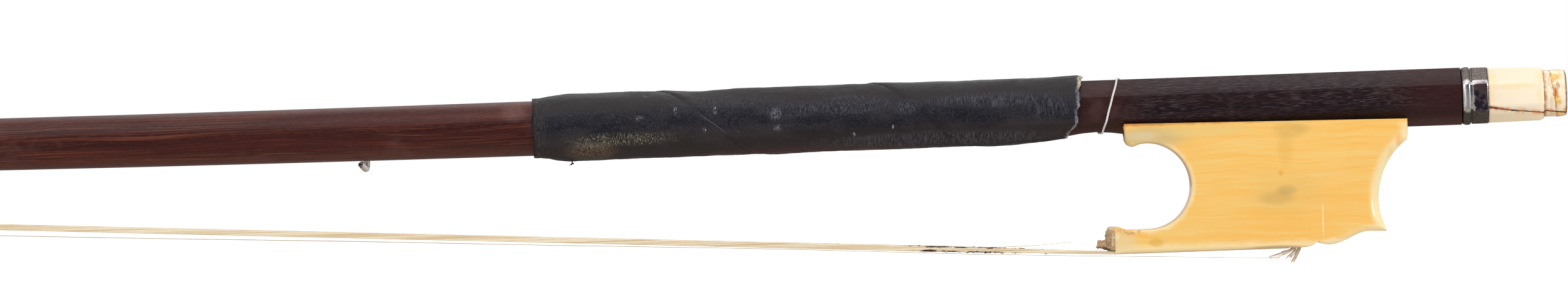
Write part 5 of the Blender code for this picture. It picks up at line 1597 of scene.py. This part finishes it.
def hair_row(across, layer, seed):
    """One hair from the head's mortise to the frog's: across from -1 to 1, layer from -1 to 1."""
    head = hair_middle(0)
    path = []
    for ahead, rise in HAIR_BEND:
        aside = Vector((ahead + layer * HEAD_HALF_DEPTH, across * HEAD_HALF_WIDTH, 0))
        path.append(head + aside + HAIR_UP * rise)
    for k in range(HAIR_STATIONS + 1):
        share = k / HAIR_STATIONS
        middle, half, thick = hair_station(share)
        drift = 0.07 * (thick - 0.13) / 0.2 * noise.noise(Vector((share * 9, seed, 0)))
        path.append(middle + Vector((0, across * half + drift, 0)) + HAIR_UP
                    * (layer * thick + drift * 0.5))
    rear = MORTISE_REAR_X - 1.2
    lift = layer * 0.16
    path.append(Vector((MOUTH_X + 4, across * FROG_HAIR_HALF_WIDTH, HAIR_HELD_Z + lift)))
    path.append(Vector((rear - 0.9, across * FROG_HAIR_HALF_WIDTH, HAIR_HELD_Z + lift)))
    path.append(Vector((rear - 0.25 + layer * 0.1, across * 3.2, HAIR_HELD_Z + 0.3 + lift)))
    path.append(Vector((rear - layer * 0.12, across * 3.1, HAIR_HELD_Z + 3)))
    return [(point * MM, 1) for point in path]


def hair_core():
    """The close-packed hairs inside the ribbon, as one thin bar."""
    corners = ((-1, -0.7), (-0.97, -1), (0.97, -1), (1, -0.7), (1, 0.7), (0.97, 1), (-0.97, 1), (-1, 0.7))
    rings = []
    for ahead, rise in HAIR_BEND:
        middle = hair_middle(0) + Vector((ahead, 0, 0)) + HAIR_UP * rise
        rings.append([(middle + Vector((z * HEAD_HALF_DEPTH, y * HEAD_HALF_WIDTH, 0))) * MM for y,
                      z in corners])
    for k in range(HAIR_STATIONS + 1):
        middle, half, thick = hair_station(k / HAIR_STATIONS)
        rings.append([(middle + Vector((0, y * half, 0)) + HAIR_UP * (z * thick)) * MM for y, z in corners])
    rear = Vector((MORTISE_REAR_X - 2.4, 0, HAIR_HELD_Z))
    rings.append([(rear + Vector((0, y * FROG_HAIR_HALF_WIDTH, z * 0.14))) * MM for y, z in corners])
    return grown("hair_core", rings)


class BOW_OT_hair(bpy.types.Operator):
    """The ribbon of horsehair, hair by hair, from the head's mortise to the frog's"""
    bl_idname = "bow.hair"
    bl_label = "Hair ribbon"

    def execute(self, context):
        settings = context.scene.bow_hair
        dice = random.Random(7)
        paths = []
        flat = round(settings.count * 0.43)
        edge = round(settings.count * 0.07)
        places = [(2 * (k + dice.random()) / flat - 1, side) for side in (-1, 1) for k in range(flat)]
        places += [(side, 2 * (k + 0.5) / edge - 1) for side in (-1, 1) for k in range(edge)]
        for across, layer in places:
            paths.append(hair_row(across, layer, dice.uniform(0, 60)))
        ribbon = strands("hair_ribbon", paths, settings.diameter)
        join(ribbon, hair_core())
        dress(ribbon, 80, "hair", "horsehair", None, ["hair"])
        hair_middle(0.0) * MM
        hair_middle(1.0) * MM
        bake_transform(ribbon)
        return {"FINISHED"}


class BOW_OT_crumbs(bpy.types.Operator):
    """Dark crumbs of old rosin and dirt on the ribbon near the frog"""
    bl_idname = "bow.crumbs"
    bl_label = "Crumbs"

    COUNT = 150
    START_X = -122
    END_X = -79

    def execute(self, context):
        dice = random.Random(5)
        crumbs = []
        for _ in range(self.COUNT):
            x = dice.triangular(self.START_X, self.END_X, -93)
            length = (hair_middle(1) - hair_middle(0)).x
            middle, half, thick = hair_station((x - hair_middle(0).x) / length)
            side = -1 if dice.random() < 0.35 and x > -96 else 1
            size = dice.uniform(0.04, 0.13) * (1 if x > -100 else 0.7)
            crumb = added("crumb", bpy.ops.mesh.primitive_ico_sphere_add, subdivisions=1, radius=size * MM)
            crumb.scale = (dice.uniform(1, 3.2), dice.uniform(0.8, 1.6), dice.uniform(0.6, 1))
            crumb.location = (middle + Vector((0, dice.uniform(-half, 1), side * (thick + 0.08)))) * MM
            settle(crumb)
            for vert in crumb.data.vertices:
                vert.co += Vector([dice.uniform(-0.3, 0.3) for _ in range(3)]) * size * MM
            crumbs.append(crumb)
        crumbs = join(*crumbs)
        crumbs.name = "rosin_crumbs"
        dress(crumbs, None, "crumbs", "horsehair")
        hair_middle(0.0) * MM
        hair_middle(1.0) * MM
        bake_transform(crumbs)
        return {"FINISHED"}


class BOW_OT_loose_hair(bpy.types.Operator):
    """Hairs that have come loose from the ribbon and hang beside it"""
    bl_idname = "bow.loose_hair"
    bl_label = "Loose hairs"

    DIAMETER = 0.13
    # Places (x, y, z) in millimetres that each loose hair passes, towards the frog
    PATHS = (
        ((-600, 0.8, 9), (-420, 0.4, -2.4), (-236.4, -0.6, -13.64), (-189.2, -1, -15.63),
         (-151.4, -1.4, -17.85), (-120, -1.6, -19.3), (-90, -1.8, -21.3), (-66.7, -1.9, -22.37),
         (-55, -1.8, -22.9), (-44, -1.4, -23.4)),
        ((-110, 1.2, -19.3), (-90, 0.4, -20.5), (-82, -0.8, -20.5), (-75.4, -1.2, -19.9)),
    )

    def execute(self, context):
        paths = []
        for row in self.PATHS:
            paths.append([(Vector(point) * MM, 1 - 0.4 * k / len(row)) for k, point in enumerate(row)])
        loose = strands("loose_hairs", paths, self.DIAMETER, steps=8)
        dress(loose, 80, "loose_hair", "horsehair")
        hair_middle(0.0) * MM
        hair_middle(1.0) * MM
        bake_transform(loose)
        return {"FINISHED"}


class BOW_OT_tuft(bpy.types.Operator):
    """The cut ends of the hair, which fan out under the frog"""
    bl_idname = "bow.tuft"
    bl_label = "Hair tuft"

    HAIRS = 30
    DIAMETER = 0.15

    def execute(self, context):
        dice = random.Random(11)
        paths = []
        for k in range(self.HAIRS):
            across = dice.uniform(-2.1, 2.1)
            lean = math.radians(dice.uniform(28, 60) if k % 4 else dice.uniform(68, 84))
            length = dice.uniform(1.9, 2.8) if k % 4 else dice.uniform(2.2, 5.2)
            root = Vector((MORTISE_REAR_X + dice.uniform(-0.3, 0.3), across, FROG_BOTTOM + 1.6))
            out = Vector((root.x - 0.05, across, FROG_BOTTOM - 0.02))
            down = Vector((-math.sin(lean), dice.uniform(-0.12, 0.12), -math.cos(lean)))
            droop = Vector((0, 0, -0.12))
            middle = out + down * length * 0.5
            tip = out + down * length + droop
            paths.append([(root * MM, 1), (out * MM, 1), (middle * MM, 0.95), (tip * MM, 0.7)])
        tuft = strands("cut_hair_tuft", paths, self.DIAMETER, steps=3)
        dress(tuft, 80, "loose_hair", "horsehair", "frog", ["hair_tuft"])
        return {"FINISHED"}


def space_of(node):
    """The CAD node's low corner, middle and size, in millimetres."""
    low, high = (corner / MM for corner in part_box(node))
    return low, (low + high) / 2, high - low


class BOW_OT_knots(bpy.types.Operator):
    """The tied ends of the hair inside the head and the frog, and the thread wound round each"""
    bl_idname = "bow.knots"
    bl_label = "Hair knots"

    HAIRS = 46
    HAIR_DIAMETER = 0.22
    THREAD_DIAMETER = 0.18
    GOLDEN_ANGLE = 2.39996
    # How far out the hairs lie at each share of the knot's height
    SWELLS = ((0, 0.68), (0.25, 0.64), (0.6, 0.66), (0.8, 0.86), (0.93, 0.84), (1, 0.55))
    TURNS = 7
    STEPS_A_TURN = 24

    def execute(self, context):
        for end, body in (("frog", "frog"), ("head", "stick")):
            self.knot(f"{end}_hair_knot", f"{end}_tied_hair", body)
            self.winding(f"{end}_knot_binding", f"{end}_knot_thread", body)
        return {"FINISHED"}

    def knot(self, node, name, body):
        """A bundle of hairs that swell towards their sealed end, inside the CAD knot's space."""
        low, middle, size = space_of(node)
        dice = random.Random(3)
        paths = []
        for k in range(self.HAIRS):
            turn = k * self.GOLDEN_ANGLE
            reach = math.sqrt((k + 0.5) / self.HAIRS)
            path = []
            for share, swell in self.SWELLS:
                x = middle.x + math.cos(turn) * reach * swell * (size.x / 2 - 0.12)
                y = middle.y + math.sin(turn) * reach * swell * (size.y / 2 - 0.12)
                z = low.z + 0.05 + (size.z - 0.1) * share
                path.append((Vector((x, y, z)) * MM, dice.uniform(0.85, 1.15)))
            paths.append(path)
        knot = strands(name, paths, self.HAIR_DIAMETER)
        dress(knot, 80, "loose_hair", "horsehair", body, [node])

    def winding(self, node, name, body):
        """The thread wound round the knot's waist."""
        low, middle, size = space_of(node)
        path = []
        steps = self.TURNS * self.STEPS_A_TURN
        for k in range(steps + 1):
            turn = math.tau * k / self.STEPS_A_TURN
            x = middle.x + math.cos(turn) * (size.x / 2 - 0.1)
            y = middle.y + math.sin(turn) * (size.y / 2 - 0.1)
            path.append((Vector((x, y, low.z + 0.1 + (size.z - 0.2) * k / steps)) * MM, 1))
        thread = strands(name, [path], self.THREAD_DIAMETER, sides=1)
        dress(thread, 70, "thread", "white_thread", body, [node])


# The studio

class BOW_OT_stage(bpy.types.Operator):
    """A white floor, four soft lamps, an even surround and the long-lens camera"""
    bl_idname = "bow.stage"
    bl_label = "Stage"

    # The photograph: the point at its middle, its width there and how far it is turned
    MIDDLE = (-118.03, -3.18)
    WIDTH = 236.25
    ROLL = 2.005
    FLOOR_Z = -33
    # Each lamp's name, the setting that gives its power, its share of it, its place and its size in metres
    LAMPS = (
        ("key_lamp", "key_power", 1, (-0.5, -1, 1.6), 1.1),
        ("right_lamp", "side_power", 1, (1.6, -0.75, 0.25), 0.42),
        ("left_lamp", "side_power", 0.75, (-1.6, -1, 0.25), 1.2),
        ("rear_lamp", "key_power", 0.3, (0.2, 1.2, 1.3), 1.1),
    )
    AIM = Vector((-0.12, 0, 0))

    def execute(self, context):
        stage = context.scene.bow_stage
        self.camera(context, stage)
        self.floor()
        for name, setting, share, place, size in self.LAMPS:
            self.lamp(name, getattr(stage, setting) * share, place, size)
        self.surround(context, stage)
        context.scene.view_settings.view_transform = "Standard"
        return {"FINISHED"}

    def camera(self, context, stage):
        lens = bpy.data.cameras.new("camera")
        lens.type = "PERSP"
        lens.sensor_fit = "HORIZONTAL"
        lens.sensor_width = 36
        lens.lens = lens.sensor_width * stage.distance / (self.WIDTH * MM)
        lens.clip_start = 0.1
        lens.clip_end = 200
        camera = bpy.data.objects.new("camera", lens)
        context.scene.collection.objects.link(camera)
        camera.location = (self.MIDDLE[0] * MM, -stage.distance, self.MIDDLE[1] * MM)
        roll = Matrix.Rotation(math.radians(self.ROLL), 4, "Y")
        camera.rotation_euler = (roll @ Matrix.Rotation(math.radians(90), 4, "X")).to_euler()
        context.scene.camera = camera

    def floor(self):
        floor = added("floor", bpy.ops.mesh.primitive_plane_add, size=60,
                      location=(0, 0, self.FLOOR_Z * MM))
        settle(floor)
        finish = bpy.data.materials.new("white_floor")
        finish.use_nodes = True
        w = Wiring(finish.node_tree, finish.node_tree.nodes["Principled BSDF"].inputs)
        w.put("Roughness", 0.9)
        w.put("Specular IOR Level", 0)
        tone = w.noise(w.add("ShaderNodeTexCoord")["Object"], 3, 4)
        path = w.add("ShaderNodeLightPath")
        pale = w.mix(tone, rgb(236, 236, 236), rgb(240, 240, 240))
        w.put("Base Color", w.mix(path["Is Glossy Ray"], pale, rgb(160, 156, 152)))
        w.put("Emission Color", (1, 1, 1, 1))
        w.put("Emission Strength", w.higher(path["Is Camera Ray"], path["Is Transmission Ray"]) * 0.58)
        w.put("Alpha", 1 - w.add("ShaderNodeNewGeometry")["Backfacing"])
        floor.data.materials.append(finish)

    def lamp(self, name, power, place, size):
        light = bpy.data.lights.new(name, "AREA")
        light.energy = power
        light.size = size
        lamp = bpy.data.objects.new(name, light)
        bpy.context.scene.collection.objects.link(lamp)
        lamp.location = place
        lamp.rotation_euler = (self.AIM - lamp.location).to_track_quat("-Z", "Y").to_euler()

    def surround(self, context, stage):
        """White all round, but darker in reflections of the room's front, and a little of its back."""
        world = bpy.data.worlds.new("white_surround")
        world.use_nodes = True
        context.scene.world = world
        w = Wiring(world.node_tree, world.node_tree.nodes["Background"].inputs)
        w.put("Color", (1, 1, 1, 1))
        path = w.add("ShaderNodeLightPath")
        seen = w.higher(path["Is Camera Ray"], path["Is Transmission Ray"])
        strength = w.span(seen, 0, 1, stage.ambient, 1)
        way = w.parts(w.add("ShaderNodeTexCoord")["Generated"], "Y")[0]
        room = w.span(way, -0.9, -0.05, 0.08, 1) * w.span(way, 0.2, 1, 1, 0.6)
        glossy = path["Is Glossy Ray"]
        w.put("Strength", strength * (1 - glossy) + room * glossy)


class BOW_PT_panel(bpy.types.Panel):
    """Lists the bow's pieces and the sizes and colours that may be changed"""
    bl_idname = "BOW_PT_panel"
    bl_label = "Violin bow"
    bl_space_type = "VIEW_3D"
    bl_region_type = "UI"
    bl_category = "Bow"

    def draw(self, context):
        for name, group in SETTINGS.items():
            box = self.layout.box()
            for key in group.__annotations__:
                box.prop(getattr(context.scene, name), key)
        for step in STEPS:
            self.layout.operator(step.bl_idname)


SETTINGS = {
    "bow_wood": WoodSettings,
    "bow_grip": GripSettings,
    "bow_frog": FrogSettings,
    "bow_hair": HairSettings,
    "bow_stage": StageSettings,
}
STEPS = (BOW_OT_stage, BOW_OT_stick, BOW_OT_grip, BOW_OT_thread, BOW_OT_pin, BOW_OT_frog, BOW_OT_wedge,
         BOW_OT_plugs, BOW_OT_eyelet, BOW_OT_ring, BOW_OT_button, BOW_OT_screw, BOW_OT_head_face,
         BOW_OT_hair, BOW_OT_crumbs, BOW_OT_loose_hair, BOW_OT_tuft, BOW_OT_knots)


def register():
    for group in SETTINGS.values():
        bpy.utils.register_class(group)
    for step in (*STEPS, BOW_PT_panel):
        bpy.utils.register_class(step)
    for name, group in SETTINGS.items():
        setattr(bpy.types.Scene, name, PointerProperty(type=group))


def unregister():
    for name in SETTINGS:
        delattr(bpy.types.Scene, name)
    for step in (BOW_PT_panel, *reversed(STEPS)):
        bpy.utils.unregister_class(step)
    for group in SETTINGS.values():
        bpy.utils.unregister_class(group)


def main():
    register()
    make_finishes()
    for step in STEPS:
        family, name = step.bl_idname.split(".")
        getattr(getattr(bpy.ops, family), name)()


if __name__ == "__main__":
    main()
